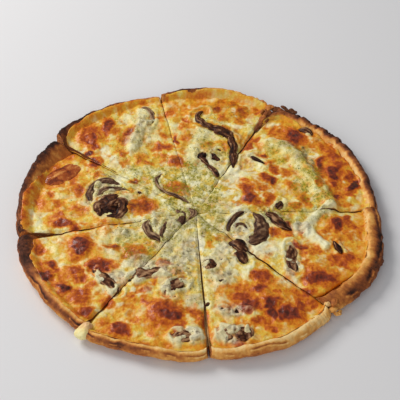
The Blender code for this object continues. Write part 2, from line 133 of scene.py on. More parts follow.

# How toasted the rim is, from 0, pale dough, to 1, char, at even steps along each slice. The pale crests of
# the south and south-east slices, and the south-east lip, are partly the crust's own golden colour and partly
# painted light that makes up for the shade on walls turned from the window
Bake = namedtuple("Bake", "outer lip crest inner ragged")
BAKES = {
    "north_east": Bake((0.5, 0.6, 0.8, 0.9, 0.9), (0.7, 0.85, 0.9, 0.95, 0.9), (0.44, 0.66, 0.66, 0.6, 0.7),
                       (0.14, 0.12, 0.14, 0.2, 0.4), (0.2, 0.5, 0.8, 1.0, 0.8)),
    "north": Bake((0.5, 0.55, 0.6, 0.7, 0.6), (0.6, 0.5, 0.5, 0.97, 0.8), (0.3, 0.3, 0.3, 0.8, 0.6),
                  (0.06, 0.04, 0.06, 0.42, 0.4), (0.9, 0.3, 0.1, 0.3, 0.2)),
    "north_west": Bake((0.55, 0.6, 0.7, 0.9, 0.95), (0.6, 0.6, 0.8, 0.96, 1.0), (0.4, 0.5, 0.7, 0.9, 1.0),
                       (0.2, 0.25, 0.35, 0.45, 0.55), (0.1, 0.1, 0.1, 0.1, 0.3)),
    "west": Bake((0.9, 0.85, 0.8, 0.7, 0.7), (1.0, 0.97, 0.9, 0.85, 0.8), (0.96, 0.86, 0.8, 0.7, 0.8),
                 (0.52, 0.5, 0.36, 0.3, 0.5), (0.6, 0.6, 0.3, 0.3, 0.5)),
    "south_west": Bake((0.44, 0.4, 0.34, 0.34, 0.36), (0.95, 0.85, 0.66, 0.68, 0.7),
                       (0.95, 0.85, 0.3, 0.2, 0.2), (0.8, 0.6, 0.24, 0.16, 0.16),
                       (0.4, 0.2, 0.2, 0.3, 0.3)),
    "south": Bake((0.42, 0.42, 0.38, 0.34), (0.7, 0.66, 0.5, 0.36), (0.24, 0.2, 0.14, 0.08),
                  (0.1, 0.08, 0.06, 0.06), (0.3, 0.2, 0.1, 0.2)),
    "south_east": Bake((0.42, 0.46, 0.4, 0.28), (0.3, 0.36, 0.28, 0.14), (0.06, 0.08, 0.06, 0.08),
                       (0.1, 0.06, 0.06, 0.1), (0.2, 0.1, 0.1, 0.6)),
    "east": Bake((0.4, 0.6, 0.72, 0.68, 0.58), (0.5, 0.66, 0.8, 0.72, 0.62), (0.6, 0.34, 0.3, 0.34, 0.38),
                 (0.6, 0.3, 0.12, 0.14, 0.14), (0.5, 0.7, 0.9, 0.6, 0.2)),
}

# Swellings of the cheese over what lies beneath it: x, y, radius and share of MOUND_HEIGHT
MOUNDS = (
    (-54, 104, 12, 1.3), (-22, 66, 13, 0.9), (-98, 90, 16, 1.1), (20, 128, 16, 0.8),
    (75, 80, 14, 1.2), (98, 42, 13, 1.5), (120, 58, 15, 1.2), (44, 24, 15, 1.0),
    (112, -10, 14, 1.1), (102, -63, 13, 1.2), (60, -42, 15, 1.2), (56, -92, 18, 1.1),
    (20, -86, 13, 0.8), (-22, -108, 16, 1.3), (-94, -43, 11, 1.5), (-76, 2, 18, 1.2),
    (-104, -84, 14, 0.9), (-30, -14, 14, 1.3), (-120, -4, 14, 0.7), (104, 100, 12, 0.8),
)

# How wide a gap closes where a cut has healed, how far from a cut its side gives way, and how far
# along the rim a gape spreads
WIDEST_CLOSED = 1.2
CUT_SOFTNESS = 1.8
FLARE_REACH = 9.0

# How browned a blister is
GOLD, ORANGE, RUST, RED, BROWN, DARK, BURNT = 0.40, 0.52, 0.61, 0.70, 0.79, 0.87, 0.95

# Blisters in the cheese: x, y, width, height and how browned
BLISTERS = (
    # North-east slice
    (67, 103, 10, 14, ORANGE), (84, 97, 20, 20, DARK), (78, 94, 9, 9, RED), (89, 96, 8, 10, BROWN),
    (108, 85, 8, 10, RUST), (112, 77, 7, 7, RUST), (107, 66, 9, 10, BROWN), (118, 70, 9, 9, RED),
    (105, 60, 8, 9, DARK), (121, 61, 8, 9, RED), (118, 52, 10, 14, DARK), (108, 50, 8, 8, ORANGE),
    (130, 48, 8, 9, RED), (118, 40, 8, 8, BROWN), (105, 38, 7, 8, RED), (134, 36, 12, 12, BURNT),
    (132, 26, 7, 7, RUST), (117, 22, 7, 9, BROWN), (60, 60, 9, 8, ORANGE), (57, 72, 6, 6, BROWN),
    (66, 54, 8, 8, RED), (76, 50, 9, 8, ORANGE), (58, 42, 9, 8, RED), (63, 40, 7, 7, DARK),
    (40, 38, 8, 6, ORANGE), (43, 28, 11, 12, RED), (44, 18, 11, 12, DARK), (55, 30, 9, 9, ORANGE),
    (60, 17, 8, 12, RUST), (77, 37, 10, 8, ORANGE), (90, 20, 6, 14, RUST), (82, 12, 8, 7, ORANGE),
    (32, 12, 10, 10, GOLD), (50, 12, 9, 8, RUST), (42, 83, 7, 9, RED), (49, 92, 6, 8, RUST),
    # North slice
    (-28, 125, 10, 10, ORANGE), (-15, 115, 8, 8, ORANGE), (-18, 106, 9, 7, ORANGE), (-16, 130, 7, 7, GOLD),
    (-13, 90, 8, 8, ORANGE), (17, 142, 8, 6, ORANGE), (30, 137, 10, 8, RUST), (37, 128, 10, 12, RUST),
    (12, 129, 8, 8, RED), (20, 117, 9, 8, RUST), (35, 116, 10, 9, ORANGE), (50, 130, 7, 9, ORANGE),
    (8, 82, 8, 5, ORANGE), (-8, 124, 8, 7, GOLD), (-4, 60, 6, 6, GOLD), (20, 104, 7, 5, RUST),
    # North-west slice
    (-100, 87, 18, 24, RUST), (-96, 84, 9, 13, BROWN), (-86, 102, 9, 20, BROWN), (-64, 96, 10, 12, RED),
    (-68, 85, 12, 12, RUST), (-36, 78, 14, 10, RED), (-20, 60, 13, 12, RED), (-52, 60, 10, 14, ORANGE),
    (-44, 57, 7, 7, RUST), (-34, 62, 8, 9, ORANGE), (-68, 68, 8, 7, RUST), (-98, 66, 9, 6, BURNT),
    (-92, 76, 9, 8, RED), (-78, 96, 8, 9, ORANGE), (-20, 25, 18, 13, RUST), (-33, 94, 8, 7, ORANGE),
    (-22, 88, 4, 12, BROWN), (-56, 35, 10, 4, BROWN), (-112, 100, 7, 14, ORANGE), (-76, 122, 9, 6, GOLD),
    # West slice
    (-92, 53, 10, 10, BROWN), (-86, 38, 8, 8, ORANGE), (-100, 20, 8, 14, RUST), (-118, 1, 10, 10, ORANGE),
    (-100, -3, 12, 10, ORANGE), (-118, -10, 9, 7, RUST), (-48, 3, 19, 15, RED), (-112, -18, 16, 7, BROWN),
    (-113, 18, 10, 8, GOLD), (-60, 20, 8, 7, GOLD), (-126, 15, 7, 9, ORANGE),
    # South-west slice
    (-94, -43, 18, 20, DARK), (-72, -42, 12, 8, BROWN), (-50, -46, 16, 13, RUST), (-75, -63, 16, 12, BROWN),
    (-95, -68, 12, 8, RED), (-92, -76, 8, 7, RUST), (-118, -78, 15, 14, DARK), (-104, -87, 10, 12, BURNT),
    (-90, -95, 15, 14, RUST), (-125, -65, 10, 9, ORANGE), (-115, -65, 9, 7, BROWN), (-100, -55, 9, 9, ORANGE),
    (-110, -70, 8, 7, RUST), (-70, -100, 9, 8, RUST), (-84, -109, 9, 8, BROWN), (-102, -23, 10, 7, RED),
    (-74, -22, 8, 8, RUST), (-84, -84, 9, 7, ORANGE), (-60, -52, 8, 7, ORANGE), (-128, -48, 8, 12, RUST),
    # South slice
    (-22, -108, 24, 22, RED), (-19, -111, 15, 14, DARK), (-42, -85, 10, 10, ORANGE),
    (-50, -95, 11, 9, ORANGE),
    (-10, -122, 9, 7, RUST), (7, -112, 9, 12, RUST), (0, -105, 8, 8, RUST), (-58, -125, 15, 9, BROWN),
    (-70, -120, 9, 8, ORANGE), (-30, -128, 9, 7, ORANGE), (-28, -60, 8, 7, RUST), (-14, -68, 7, 7, ORANGE),
    (-44, -116, 11, 8, ORANGE), (-36, -97, 8, 8, RUST),
    # South-east slice
    (53, -68, 14, 10, RED), (50, -80, 13, 10, BROWN), (38, -78, 10, 10, ORANGE), (36, -90, 14, 12, RED),
    (43, -97, 14, 10, BROWN), (58, -95, 13, 13, DARK), (62, -103, 12, 10, DARK), (52, -112, 13, 8, RUST),
    (80, -85, 10, 9, ORANGE), (88, -82, 9, 8, RED), (90, -92, 8, 8, RUST), (75, -103, 15, 13, DARK),
    (82, -94, 9, 9, RED), (60, -118, 10, 7, RUST), (34, -134, 9, 5, RUST), (66, -84, 8, 8, ORANGE),
    # East slice
    (123, -1, 9, 9, RED), (115, -9, 12, 14, DARK), (108, -15, 8, 8, ORANGE), (127, -6, 7, 8, RUST),
    (132, -12, 7, 8, RUST), (128, -22, 6, 10, ORANGE), (98, -27, 10, 7, RUST), (85, -33, 10, 5, BROWN),
    (95, -40, 19, 10, ORANGE), (75, -14, 8, 10, BROWN), (63, -21, 12, 8, RUST), (75, -24, 8, 7, ORANGE),
    (88, -18, 8, 7, ORANGE), (120, -47, 20, 12, RUST), (125, -45, 8, 7, RED), (110, -51, 8, 7, ORANGE),
    (102, -67, 25, 17, BROWN), (99, -68, 10, 9, DARK), (88, -55, 8, 10, ORANGE), (124, -56, 9, 8, ORANGE),
    (20, -28, 12, 10, GOLD), (12, -36, 9, 8, GOLD),
)

# Wide fields of browner cheese around the blisters: x, y, width, height and how browned
BROWNED_FIELDS = (
    (118, 52, 34, 104, 0.5), (62, 32, 62, 40, 0.36), (74, 98, 50, 34, 0.34), (108, 90, 26, 40, 0.40),
    (20, 132, 86, 34, 0.36), (-20, 132, 40, 34, 0.36), (-98, 94, 44, 60, 0.38), (-60, 74, 46, 40, 0.27),
    (-22, 66, 30, 44, 0.30), (-115, 12, 50, 90, 0.33), (-130, 24, 26, 90, 0.44), (-122, 34, 44, 36, 0.44),
    (-52, 4, 30, 24, 0.38), (-98, -60, 70, 80, 0.33), (-112, -76, 46, 50, 0.38), (-60, -50, 50, 40, 0.2),
    (-30, -104, 80, 56, 0.33), (-60, -118, 50, 30, 0.34), (52, -90, 84, 56, 0.37), (70, -106, 60, 36, 0.40),
    (112, -10, 44, 46, 0.36), (108, -56, 60, 40, 0.36), (84, -24, 46, 26, 0.27), (-20, 26, 26, 18, 0.34),
    (128, -30, 24, 60, 0.42),
)

# Pale, unbrowned cheese: x, y, width, height and strength
CREAM_PATCHES = (
    (-84, 68, 12, 13, 1.0), (-76, 59, 14, 13, 1.0), (-66, 50, 12, 12, 0.9), (30, 46, 26, 16, 1.0),
    (54, -38, 30, 18, 0.9), (73, -70, 18, 12, 0.8), (17, -76, 16, 20, 0.7), (22, -97, 14, 22, 0.6),
    (-4, -95, 12, 16, 0.8), (-30, 132, 7, 10, 0.5), (45, 118, 7, 12, 0.7), (100, 97, 8, 14, 0.6),
    (-8, 40, 20, 44, 0.35), (10, 10, 36, 26, 0.35), (-22, 100, 10, 22, 0.4), (-20, -22, 28, 36, 0.6),
    (-36, -60, 34, 20, 0.5), (-60, -30, 26, 18, 0.5), (-110, -36, 10, 16, 0.5), (-66, -76, 18, 16, 0.5),
    (-78, -8, 12, 14, 0.5), (-58, 14, 18, 10, 0.5), (-42, 92, 14, 34, 0.45), (133, 12, 12, 8, 0.5),
    (60, -10, 30, 16, 0.5), (90, -62, 8, 16, 0.4), (70, 32, 6, 16, 0.4), (16, -50, 14, 14, 0.6),
)

# Grey-mauve cheese where meat or mushroom lies just beneath: x, y, width, height and strength. The patches
# along the north-east ridge's outer side are partly meat and partly painted shade, and the small ones near
# the middle are painted shade between lumps
MEAT_GREYS_AND_SHADE = (
    (-50, 106, 10, 34, 0.35), (-81, 22, 22, 22, 0.8), (-78, 39, 14, 7, 0.8), (-62, -27, 16, 12, 0.5),
    (-63, -76, 17, 20, 0.8), (-44, -57, 22, 14, 0.7), (-20, -62, 26, 16, 0.6), (-18, -81, 20, 16, 0.9),
    (2, -94, 18, 16, 0.5), (-2, -129, 26, 14, 0.7), (27, -14, 40, 22, 0.5), (12, -58, 20, 24, 0.5),
    (30, -103, 30, 12, 0.7), (30, -126, 26, 18, 0.8), (76, -49, 11, 40, 0.7), (64, -4, 26, 14, 0.7),
    (38, 66, 20, 20, 0.3), (8, 60, 20, 42, 0.4), (-8, -6, 18, 18, 0.6), (-26, -18, 26, 26, 0.5),
    (85, -14, 14, 14, 0.7), (-4, -46, 12, 24, 0.6), (92, 76, 8, 18, 0.8),
    (97, 62, 7, 14, 0.7), (108, 6, 14, 10, 0.4),
    (-94, 6, 10, 10, 0.4), (56, -44, 18, 12, 0.3), (-52, 30, 14, 10, 0.3), (-36, -84, 10, 10, 0.3),
    (26, -44, 26, 30, 0.5), (40, -30, 20, 20, 0.5), (22, -68, 22, 20, 0.6), (-6, -36, 22, 20, 0.6),
    (-14, -52, 22, 16, 0.8), (-24, -40, 14, 12, 0.7), (-4, 3, 12, 8, 0.7), (8, 15, 12, 8, 0.6),
    (-11, 22, 9, 12, 0.6), (75, 83, 16, 10, 0.45), (86, 70, 12, 16, 0.5), (-54, 98, 14, 46, 0.6),
    (-62, 84, 14, 18, 0.5), (30, 8, 16, 8, 0.5), (4, -24, 10, 12, 0.7), (-34, -4, 14, 10, 0.6),
)

# Where the dried herbs lie thickest: x, y, width, height and strength
HERB_DUSTINGS = (
    (-6, 18, 60, 84, 0.9), (-8, 44, 28, 36, 0.6), (6, 4, 40, 30, 0.8), (76, 76, 40, 24, 0.7),
    (92, 44, 22, 56, 0.8), (107, 22, 22, 24, 0.8), (14, -20, 26, 36, 0.6), (12, 84, 50, 50, 0.5),
    (-40, -34, 70, 50, 0.5), (-40, 40, 60, 50, 0.5), (0, -70, 50, 60, 0.25), (104, 4, 20, 20, 0.5),
    (-60, 90, 40, 70, 0.3), (-70, 20, 70, 60, 0.3), (70, 0, 60, 30, 0.5), (20, 125, 50, 36, 0.25),
)

# Ridges of cheese over strips beneath: path, half width, height and how pale
RIDGES = (
    (((60, 86), (74, 82), (84, 71), (90, 58), (97, 44), (105, 30), (112, 14)), 7.5, 3.8, 0.2),
    (((112, 12), (100, 2), (92, -10), (93, -22), (104, -32)), 4.6, 2.6, 1.0),
    (((-55, 124), (-56, 100), (-61, 74)), 5.4, 2.4, 0.6),
    (((2, 100), (-6, 78), (-8, 60)), 6.0, 0.8, 0.6),
    (((-74, -22), (-78, -40), (-66, -52)), 5.0, 0.9, 0.5),
)

# Beef strips: name, thickness as a share of the width, how far cheese has melted over them,
# and the path's points, each with a half width
BEEF_STRIPS = (
    ("beef_long_upper", 0.45, 0.1, (
        (1, 127, 2.8), (-5, 121, 2.4), (-3, 114, 3.0), (7, 107, 3.6), (17, 101, 5.2), (24, 97, 6.6),
        (27.5, 91, 5.2))),
    ("beef_long_lower", 0.6, 0.1, (
        (25, 96, 3.0), (27.5, 89, 4.4), (29, 80, 4.2), (29.5, 67, 3.6), (28.5, 54, 1.4))),
    ("beef_north_hook", 0.6, 0.2, ((7, 57, 2.2), (12, 50, 3.4), (16, 42, 2.4))),
    ("beef_rim_arc", 0.6, 0.3, ((88, 108, 1.8), (95, 106, 3.8), (101, 99, 2.0))),
    ("beef_inner_streak", 0.8, 0.0, ((45, 69, 2.4), (51, 64, 2.0), (57, 60, 1.2))),
    ("beef_cut_tip", 0.7, 0.1, ((70, 16, 1.6), (68.5, 11, 3.2), (66, 6.5, 3.4))),
    ("beef_cut_strip", 0.55, 0.1, ((57, 2, 3.4), (62, -4, 4.8), (69, -11, 4.4), (78, -17, 2.0))),
    ("beef_upright", 0.4, 0.32, ((77, -33, 2.2), (76, -42, 4.8), (77, -52, 5.6), (80, -62, 3.4))),
    ("beef_pepper_dark", 0.7, 0.0, ((112, -28, 1.6), (115, -35, 3.0), (118, -40, 1.6))),
    ("beef_dark_strip", 0.45, 0.2, ((28, -30, 4.2), (34, -37, 6.0), (41, -42, 3.6))),
    ("beef_brown_strip", 0.4, 0.3, ((31, -43, 3.8), (35, -48, 5.4), (40, -54, 3.2))),
    ("beef_left_streak", 0.4, 0.55, ((-82, -68, 2.4), (-74, -75, 4.6), (-68, -80, 5.0), (-60, -89, 2.8))),
    ("beef_south_ridge", 0.35, 0.8, ((-50, -74, 4.0), (-41, -69, 6.0), (-33, -68, 5.0), (-23, -67, 3.2))),
    ("beef_south_hook", 0.35, 0.75, ((-24, -89, 3.6), (-18, -81, 6.0), (-9, -76, 4.0))),
)

# Beef lumps: name, place, full length, width and thickness, turn, and how far cheese has melted over them
BEEF_LUMPS = (
    ("beef_north_bits", (1, 68), (13, 11, 8), 0, 0.05),
    ("beef_north_fleck", (12, 66), (14, 7, 7.5), -42, 0.0),
    ("beef_large", (-74, 1.5), (30, 28, 8), 24, 0.1),
    ("beef_grey_chunk", (85, -13), (10, 10, 4), 20, 0.5),
    ("beef_round", (11, -58), (13, 12, 5), 0, 0.2),
    ("beef_rim_dark", (38, -126), (13, 16, 7), -15, 0.6),
    ("beef_rim_pale", (24, -125), (15, 17, 6), 10, 0.9),
    ("beef_rim_south", (-6, -129), (27, 14, 6.5), 12, 0.9),
)

# Folds of meat that lie on a lump, given as the strips are
BEEF_FOLDS = {
    "beef_large": (
        (0.4, ((-66, 15, 2.6), (-77, 11, 5.0), (-84, 1, 5.4), (-82, -10, 3.6))),
        (0.4, ((-70, 12, 2.6), (-64, 7, 4.4), (-62, -1, 4.2), (-68, -9, 3.4), (-76, -10, 2.4))),
        (0.6, ((-78, 6, 1.8), (-73, 1, 2.4), (-70, 5, 1.8)))),
    "beef_north_bits": ((0.8, ((-1, 67, 2.2), (3, 62, 3.0), (7, 57, 2.0))),),
    "beef_rim_dark": ((0.6, ((34, -120, 2.4), (41, -122, 3.4), (43, -130, 3.0))),),
    "beef_rim_south": ((0.5, ((-16, -131, 2.6), (-6, -132, 3.4), (4, -129, 2.6))),),
    "beef_round": ((0.6, ((7, -55, 2.2), (12, -54, 2.8), (15, -60, 2.4))),),
}

# Smaller scraps of meat that show through the cheese: x, y, length, width and turn
BEEF_SCRAPS = (
    (22, -102, 7, 4, 20), (32, -104, 6, 3.5, -15), (43, -106, 7, 3, -30), (20, -52, 4, 3, 0),
    (-10, -48, 3, 4, 20), (-6, -62, 3, 3, 0), (-61, -27, 6, 3, 10), (-66, -24, 3, 3, 0),
    (-52, -77, 3, 3, 0), (-50, 19, 8, 2.6, -10), (-64, 18, 6, 2.6, 20), (-5, -3, 5, 4, 0),
    (33, -32, 3.6, 6, 10), (20, -74, 7, 3, 30), (-38, -62, 4, 3, 0), (-12, -66, 3, 4, 0),
    (16, 76, 6, 2.4, -20), (-4, 76, 4, 2.6, 30), (88, -20, 4, 3, 0), (56, -6, 4, 3, 40),
    (-70, -67, 4, 3, 0), (-60, -80, 4, 4, 0), (-16, -92, 4, 3, 0), (10, -98, 4, 3, 30),
)

# How far cheese has melted over the scraps, how much a full veil of it pales meat, and the
# shortest path that a topping is taken to lie along
SCRAP_COVER = 0.4
VEIL_PALENESS = 0.3
SHORTEST_PATH = 0.2

# Mushroom slices: name, place, full size, turn and how far cheese has melted over them, then the curled
# edges that stand out of the cheese, each with its thickness as a share of the width, and its path
MUSHROOMS = (
    ("mushroom_dark", (41, -19), (27, 36, 4.5), 14, 0.0, (
        (0.4, ((46, 1, 2.6), (51, -5, 5.0), (53.5, -15, 6.4), (51.5, -25, 6.6), (45, -32, 5.4),
               (40, -35, 3.0))),
        (0.7, ((38, 2, 2.4), (32, -3, 2.8), (27, -11, 3.4), (25, -21, 2.2))),
        (0.9, ((31, -18, 1.2), (33, -13, 1.8), (38, -12.5, 1.8), (41, -18, 1.2))))),
    ("mushroom_arc", (-82, 19), (26, 22, 4), 45, 0.2, (
        (0.5, ((-91, 6, 3.2), (-93, 14, 4.0), (-92, 23, 3.8), (-86, 30, 3.8), (-77, 32, 3.8),
               (-69, 27, 2.6))),
        (0.6, ((-85, 12, 2.6), (-83, 19, 3.0), (-77, 23, 3.0), (-66, 23, 1.8), (-58, 20, 1.2))))),
    ("mushroom_upper", (-51, 114), (16, 22, 4), 6, 0.6, (
        (0.6, ((-56, 127, 1.6), (-50, 126, 2.6), (-46, 121, 3.0), (-45, 113, 2.4), (-47, 104, 1.4))),)),
    ("mushroom_middle", (-35, -23), (12, 22, 3.6), 8, 0.45, (
        (0.6, ((-41, -11, 2.0), (-42, -20, 3.8), (-38, -28, 3.2), (-30, -34, 3.0))),
        (0.8, ((-29, -33, 2.8), (-29, -25, 1.8), (-26, -14, 1.4))))),
    ("mushroom_heart", (-21, -12), (14, 16, 3.6), 150, 0.4, (
        (0.6, ((-18, 1, 2.0), (-13, -5, 3.8), (-14, -13, 3.6), (-21, -18, 1.6))),
        (0.8, ((-8, 4, 1.4), (-5, 0, 2.8), (-4, -5, 2.6), (-8, -9, 1.2))))),
    ("mushroom_inner", (-27, 28), (28, 23, 3.2), 140, 0.3, (
        (1.0, ((-33, 44, 1.0), (-38.5, 36, 1.9), (-35, 27, 1.3), (-26, 20, 1.5), (-15, 14.5, 2.2),
               (-8, 10, 1.6))),)),
)

TOMATO = ("tomato_slice", (-119, 38), (36, 19, 3.6), 38)

# Torn bits of crust: x, y, height, length, width, turn and how toasted. The darkest bits at the north-east
# gap are partly torn crust and partly painted shade inside the gap
TORN_CRUST = (
    (50, 107, 9, 9, 5, 65, 0.75), (53, 113, 9, 11, 6, 66, 0.62), (56, 120, 10, 11, 7, 62, 0.5),
    (59, 127, 11, 10, 8, 70, 0.66), (62, 133, 12, 10, 7, 50, 0.45), (65, 126, 10, 9, 7, 30, 0.85),
    (68, 132, 11, 10, 7, 10, 0.8), (74, 129, 11, 10, 7, -20, 0.7), (77, 132, 12, 11, 5, -35, 0.9),
    (84, 128, 12, 10, 5, -38, 0.92), (60, 118, 10, 7, 4, 60, 0.6), (55, 127, 12, 7, 4, 70, 0.5),
    (104, -93, 10, 10, 6, 45, 0.1), (108, -97, 9, 9, 6, 50, 0.3), (112, -100, 7, 8, 5, 30, 0.2),
    (109, -93, 12, 9, 6, 55, 0.5),
)

# The drip of cheese over the rim, where two slices meet: its full size, how far its middle lies
# inside the rim and below the crest, and how far its outer end droops
DRIP_ANGLE = 236.6
DRIP_SIZE = (15.0, 14.0, 9.0)
DRIP_INSET = 1.8
DRIP_DEPTH = 2.2
DRIP_DROOP = 3.4
DRIP_RINGS, DRIP_SEGMENTS = 30, 40

# The camera, in metres and degrees
CAMERA_AIM = (0.00015, 0.01983, 0.0)
CAMERA_DISTANCE = 0.90947
CAMERA_ELEVATION = 46.2652
CAMERA_ROLL = 2.1468
CAMERA_LENS = 94.99

# Lights: name, place and size in metres, power in watts and colour
LIGHTS = (
    ("window", (-1.02, 0.68, 0.96), (0.8, 0.6), 17.2, (1.0, 0.98, 0.95)),
    ("room", (-0.5, -1.3, 0.8), (1.2, 0.8), 7.5, (1.0, 0.97, 0.94)),
)

# Colours as a screen shows them
DOUGH_COLOURS = (
    (0.00, (246, 212, 146)), (0.25, (230, 168, 84)), (0.45, (190, 114, 48)),
    (0.62, (142, 76, 34)), (0.80, (92, 48, 28)), (1.00, (42, 24, 18)),
)
BROWNING_COLOURS = (
    (0.00, (244, 238, 190)), (0.12, (238, 220, 132)), (0.23, (232, 192, 70)), (0.34, (230, 160, 38)),
    (0.45, (218, 124, 20)), (0.55, (192, 90, 14)), (0.66, (160, 64, 16)), (0.78, (128, 48, 20)),
    (0.88, (98, 38, 22)), (1.00, (50, 20, 12)),
)
CREAM_COLOUR = (250, 245, 208)
HERB_TINT = (146, 136, 0)
HERB_COLOUR = (84, 92, 18)
PEPPER_COLOUR = (58, 42, 30)
CHAR_COLOUR = (52, 32, 26)
# Grey-mauve of meat beneath the cheese, also used as painted shade in hollows and beside the ridges
MEAT_AND_SHADE_PALE = (214, 202, 170)
MEAT_AND_SHADE_DARK = (86, 62, 54)
OIL_COLOUR = (206, 116, 26)
BEEF_COLOURS = ((0.12, (12, 3, 0)), (0.38, (50, 19, 6)), (0.62, (94, 50, 24)), (0.9, (182, 138, 98)))
MUSHROOM_COLOURS = ((0.12, (28, 12, 6)), (0.38, (70, 40, 26)), (0.62, (108, 74, 50)), (0.9, (178, 146, 108)))
TOMATO_COLOURS = ((0.1, (112, 40, 8)), (0.45, (172, 80, 22)), (0.8, (226, 152, 76)))
# Cut faces of the cheese: a dark brown that paints the shade inside the cuts
CUT_SHADE_COLOUR = (112, 60, 22)
FLOOR_COLOUR = (228, 227, 228)
ROOM_LIGHT = (0.93, 0.96, 1.0, 1.0)
ROOM_STRENGTH = 0.32

# The floor reaches past the view, just below the crust
FLOOR_HALF = 3.0
FLOOR_LEVEL = -0.0003


def smooth(value):
    """Ease from 0 to 1, flat at both ends."""
    value = np.clip(value, 0.0, 1.0)
    return value * value * (3 - 2 * value)


def rise(low, high, value):
    """Ease from 0 to 1 as a value goes from low to high."""
    return smooth((value - low) / (high - low))


def direction(degrees):
    """Unit vectors at angles seen from above."""
    turn = np.radians(degrees)
    return np.stack([np.cos(turn), np.sin(turn)], axis=-1)


def along(values, share):
    """Blend smoothly through evenly spaced values, at shares from 0 to 1."""
    values = np.asarray(values, dtype=float)
    place = np.clip(share, 0.0, 1.0) * (len(values) - 1)
    index = np.minimum(place.astype(int), len(values) - 2)
    blend = smooth(place - index)
    return values[index] * (1 - blend) + values[index + 1] * blend


# Smooth, seeded unevenness for shapes and browning
PULLS = np.random.default_rng(7).normal(size=(4096, 3))
PULLS /= np.linalg.norm(PULLS, axis=1, keepdims=True)
CELL_KEYS = np.array((73856093, 19349663, 83492791))
SEED_STEP = np.array((17.31, 5.77, 9.13))


def clouds(points, size, seed=0):
    """Smooth noise between about -1 and 1, whose patches have the given size."""
    if points.shape[-1] == 2:
        points = np.concatenate([points, np.zeros(points.shape[:-1] + (1,))], axis=-1)
    place = points / size + seed * SEED_STEP
    cell = np.floor(place).astype(np.int64)
    part = place - cell
    fade = part ** 3 * (part * (part * 6 - 15) + 10)
    total = np.zeros(place.shape[:-1])
    for corner in itertools.product((0, 1), repeat=3):
        step = np.array(corner)
        key = (cell + step) * CELL_KEYS
        index = (key[..., 0] ^ key[..., 1] ^ key[..., 2]) % len(PULLS)
        pull = (PULLS[index] * (part - step)).sum(axis=-1)
        total += pull * np.where(step, fade, 1 - fade).prod(axis=-1)
    return total * 1.7


def layered(points, size, seed=0, layers=3):
    """Noise with finer noise added to it, layer on layer."""
    total = sum(clouds(points, size / 2 ** i, seed + i) / 2 ** i for i in range(layers))
    return total / 1.4


def wander(place, size, reach, seed):
    """Shift places about, so that ovals drawn at them turn ragged."""
    shift = np.stack([clouds(place, size, seed), clouds(place, size, seed + 1)], axis=-1)
    return place + reach * shift


def oval(place, x, y, width, height):
    """How far into an oval patch each place lies, from 0 outside to 1 near its middle."""
    away = np.hypot((place[..., 0] - x) / (width / 2), (place[..., 1] - y) / (height / 2))
    return smooth((1.3 - away) / 0.7)


def path_distance(place, path):
    """Distance from each place to a path of straight runs."""
    nearest = np.full(place.shape[:-1], np.inf)
    for start, end in zip(path, path[1:]):
        offset = place - np.array(start, dtype=float)
        run = np.subtract(end, start).astype(float)
        share = np.clip((offset @ run) / (run @ run), 0.0, 1.0)
        nearest = np.minimum(nearest, np.linalg.norm(offset - share[..., None] * run, axis=-1))
    return nearest


def strongest(place, patches):
    """The greatest strength of any patch over each place."""
    total = np.zeros(place.shape[:-1])
    for x, y, width, height, strength in patches:
        total = np.maximum(total, strength * oval(place, x, y, width, height))
    return total


def ripple(degrees, phase):
    """An uneven wave around the pizza, between about -1 and 1."""
    angle = np.radians(degrees)
    return (np.sin(11 * angle + phase) + 0.6 * np.sin(23 * angle + 2.3 * phase)
            + 0.4 * np.sin(41 * angle + 4.1 * phase)) / 2


def apex(piece):
    """The slice's tip, set back from the cuts by half the kerf."""
    half_angle = math.radians(piece.end - piece.start) / 2
    return CUT_CENTRE + direction((piece.start + piece.end) / 2) * (KERF / 2 / math.sin(half_angle))


def ray_length(origin, heading, radius):
    """Length of rays from near the centre out to a circle about the origin."""
    forward = heading @ origin
    return -forward + np.sqrt(forward * forward - origin @ origin + radius * radius)


Rim = namedtuple("Rim", "reach height lip slope")


def slice_share(piece, degrees):
    """How far through a slice angles are, from 0 at its first cut to 1 at its last."""
    return (degrees - piece.start) / (piece.end - piece.start)


def rim_at(piece, degrees):
    """The rim's sizes where a slice's rays at these angles meet it."""
    share = slice_share(piece, degrees)
    outer = along(piece.outer, share) + RIM_RIPPLE * ripple(degrees, 0.4)
    width = np.radians(piece.end - piece.start) * outer
    for corner, distance in zip(piece.corners, (share * width, (1 - share) * width)):
        outer = outer - corner * np.maximum(0.0, 1 - distance / max(CORNER_REACH, corner)) ** 2
    height = along(piece.height, share) + RIM_RIPPLE * ripple(degrees, 2.1)
    height = height - CORNER_DROP * np.exp(-np.minimum(share, 1 - share) * width / CORNER_REACH)
    reach = ray_length(apex(piece), direction(degrees), outer)
    return Rim(reach, height, along(piece.lip, share), along(piece.slope, share))


def wall_height(rim, share):
    """Height of the inner wall at shares of its width, from crest to floor."""
    drop = 0.5 - 0.5 * np.cos(np.pi * np.clip(share, 0.0, 1.0))
    height = rim.height[:, None]
    return height + (CRUST_THICKNESS - height) * drop


def cheese_level(place):
    """Height of the open cheese, with its swellings and small waves."""
    swell = np.zeros(place.shape[:-1])
    for x, y, radius, share in MOUNDS:
        distance = np.hypot(place[..., 0] - x, place[..., 1] - y) / radius
        swell += share * np.exp(-distance * distance)
    turns = place * (2 * np.pi / WAVE_LENGTH)
    x_turn, y_turn = turns[..., 0], turns[..., 1]
    wave = np.sin(x_turn + np.sin(0.7 * y_turn)) * np.sin(y_turn + 0.7)
    return CHEESE_LEVEL + MOUND_HEIGHT * swell + WAVE_HEIGHT * wave


def ridge_rise(place):
    """How far the ridges over hidden strips lift the cheese."""
    rough = wander(place, 9.0, 1.6, 41)
    return sum(height * smooth(1.3 - path_distance(rough, path) / half_width)
               for path, half_width, height, _ in RIDGES)


def ragged_place(place):
    """Places shifted in ever finer steps, for patches with torn outlines."""
    rough = wander(place, 13.0, 4.2, 3)
    rough = wander(rough, 5.5, 2.3, 5)
    return wander(rough, 2.3, 0.8, 7)


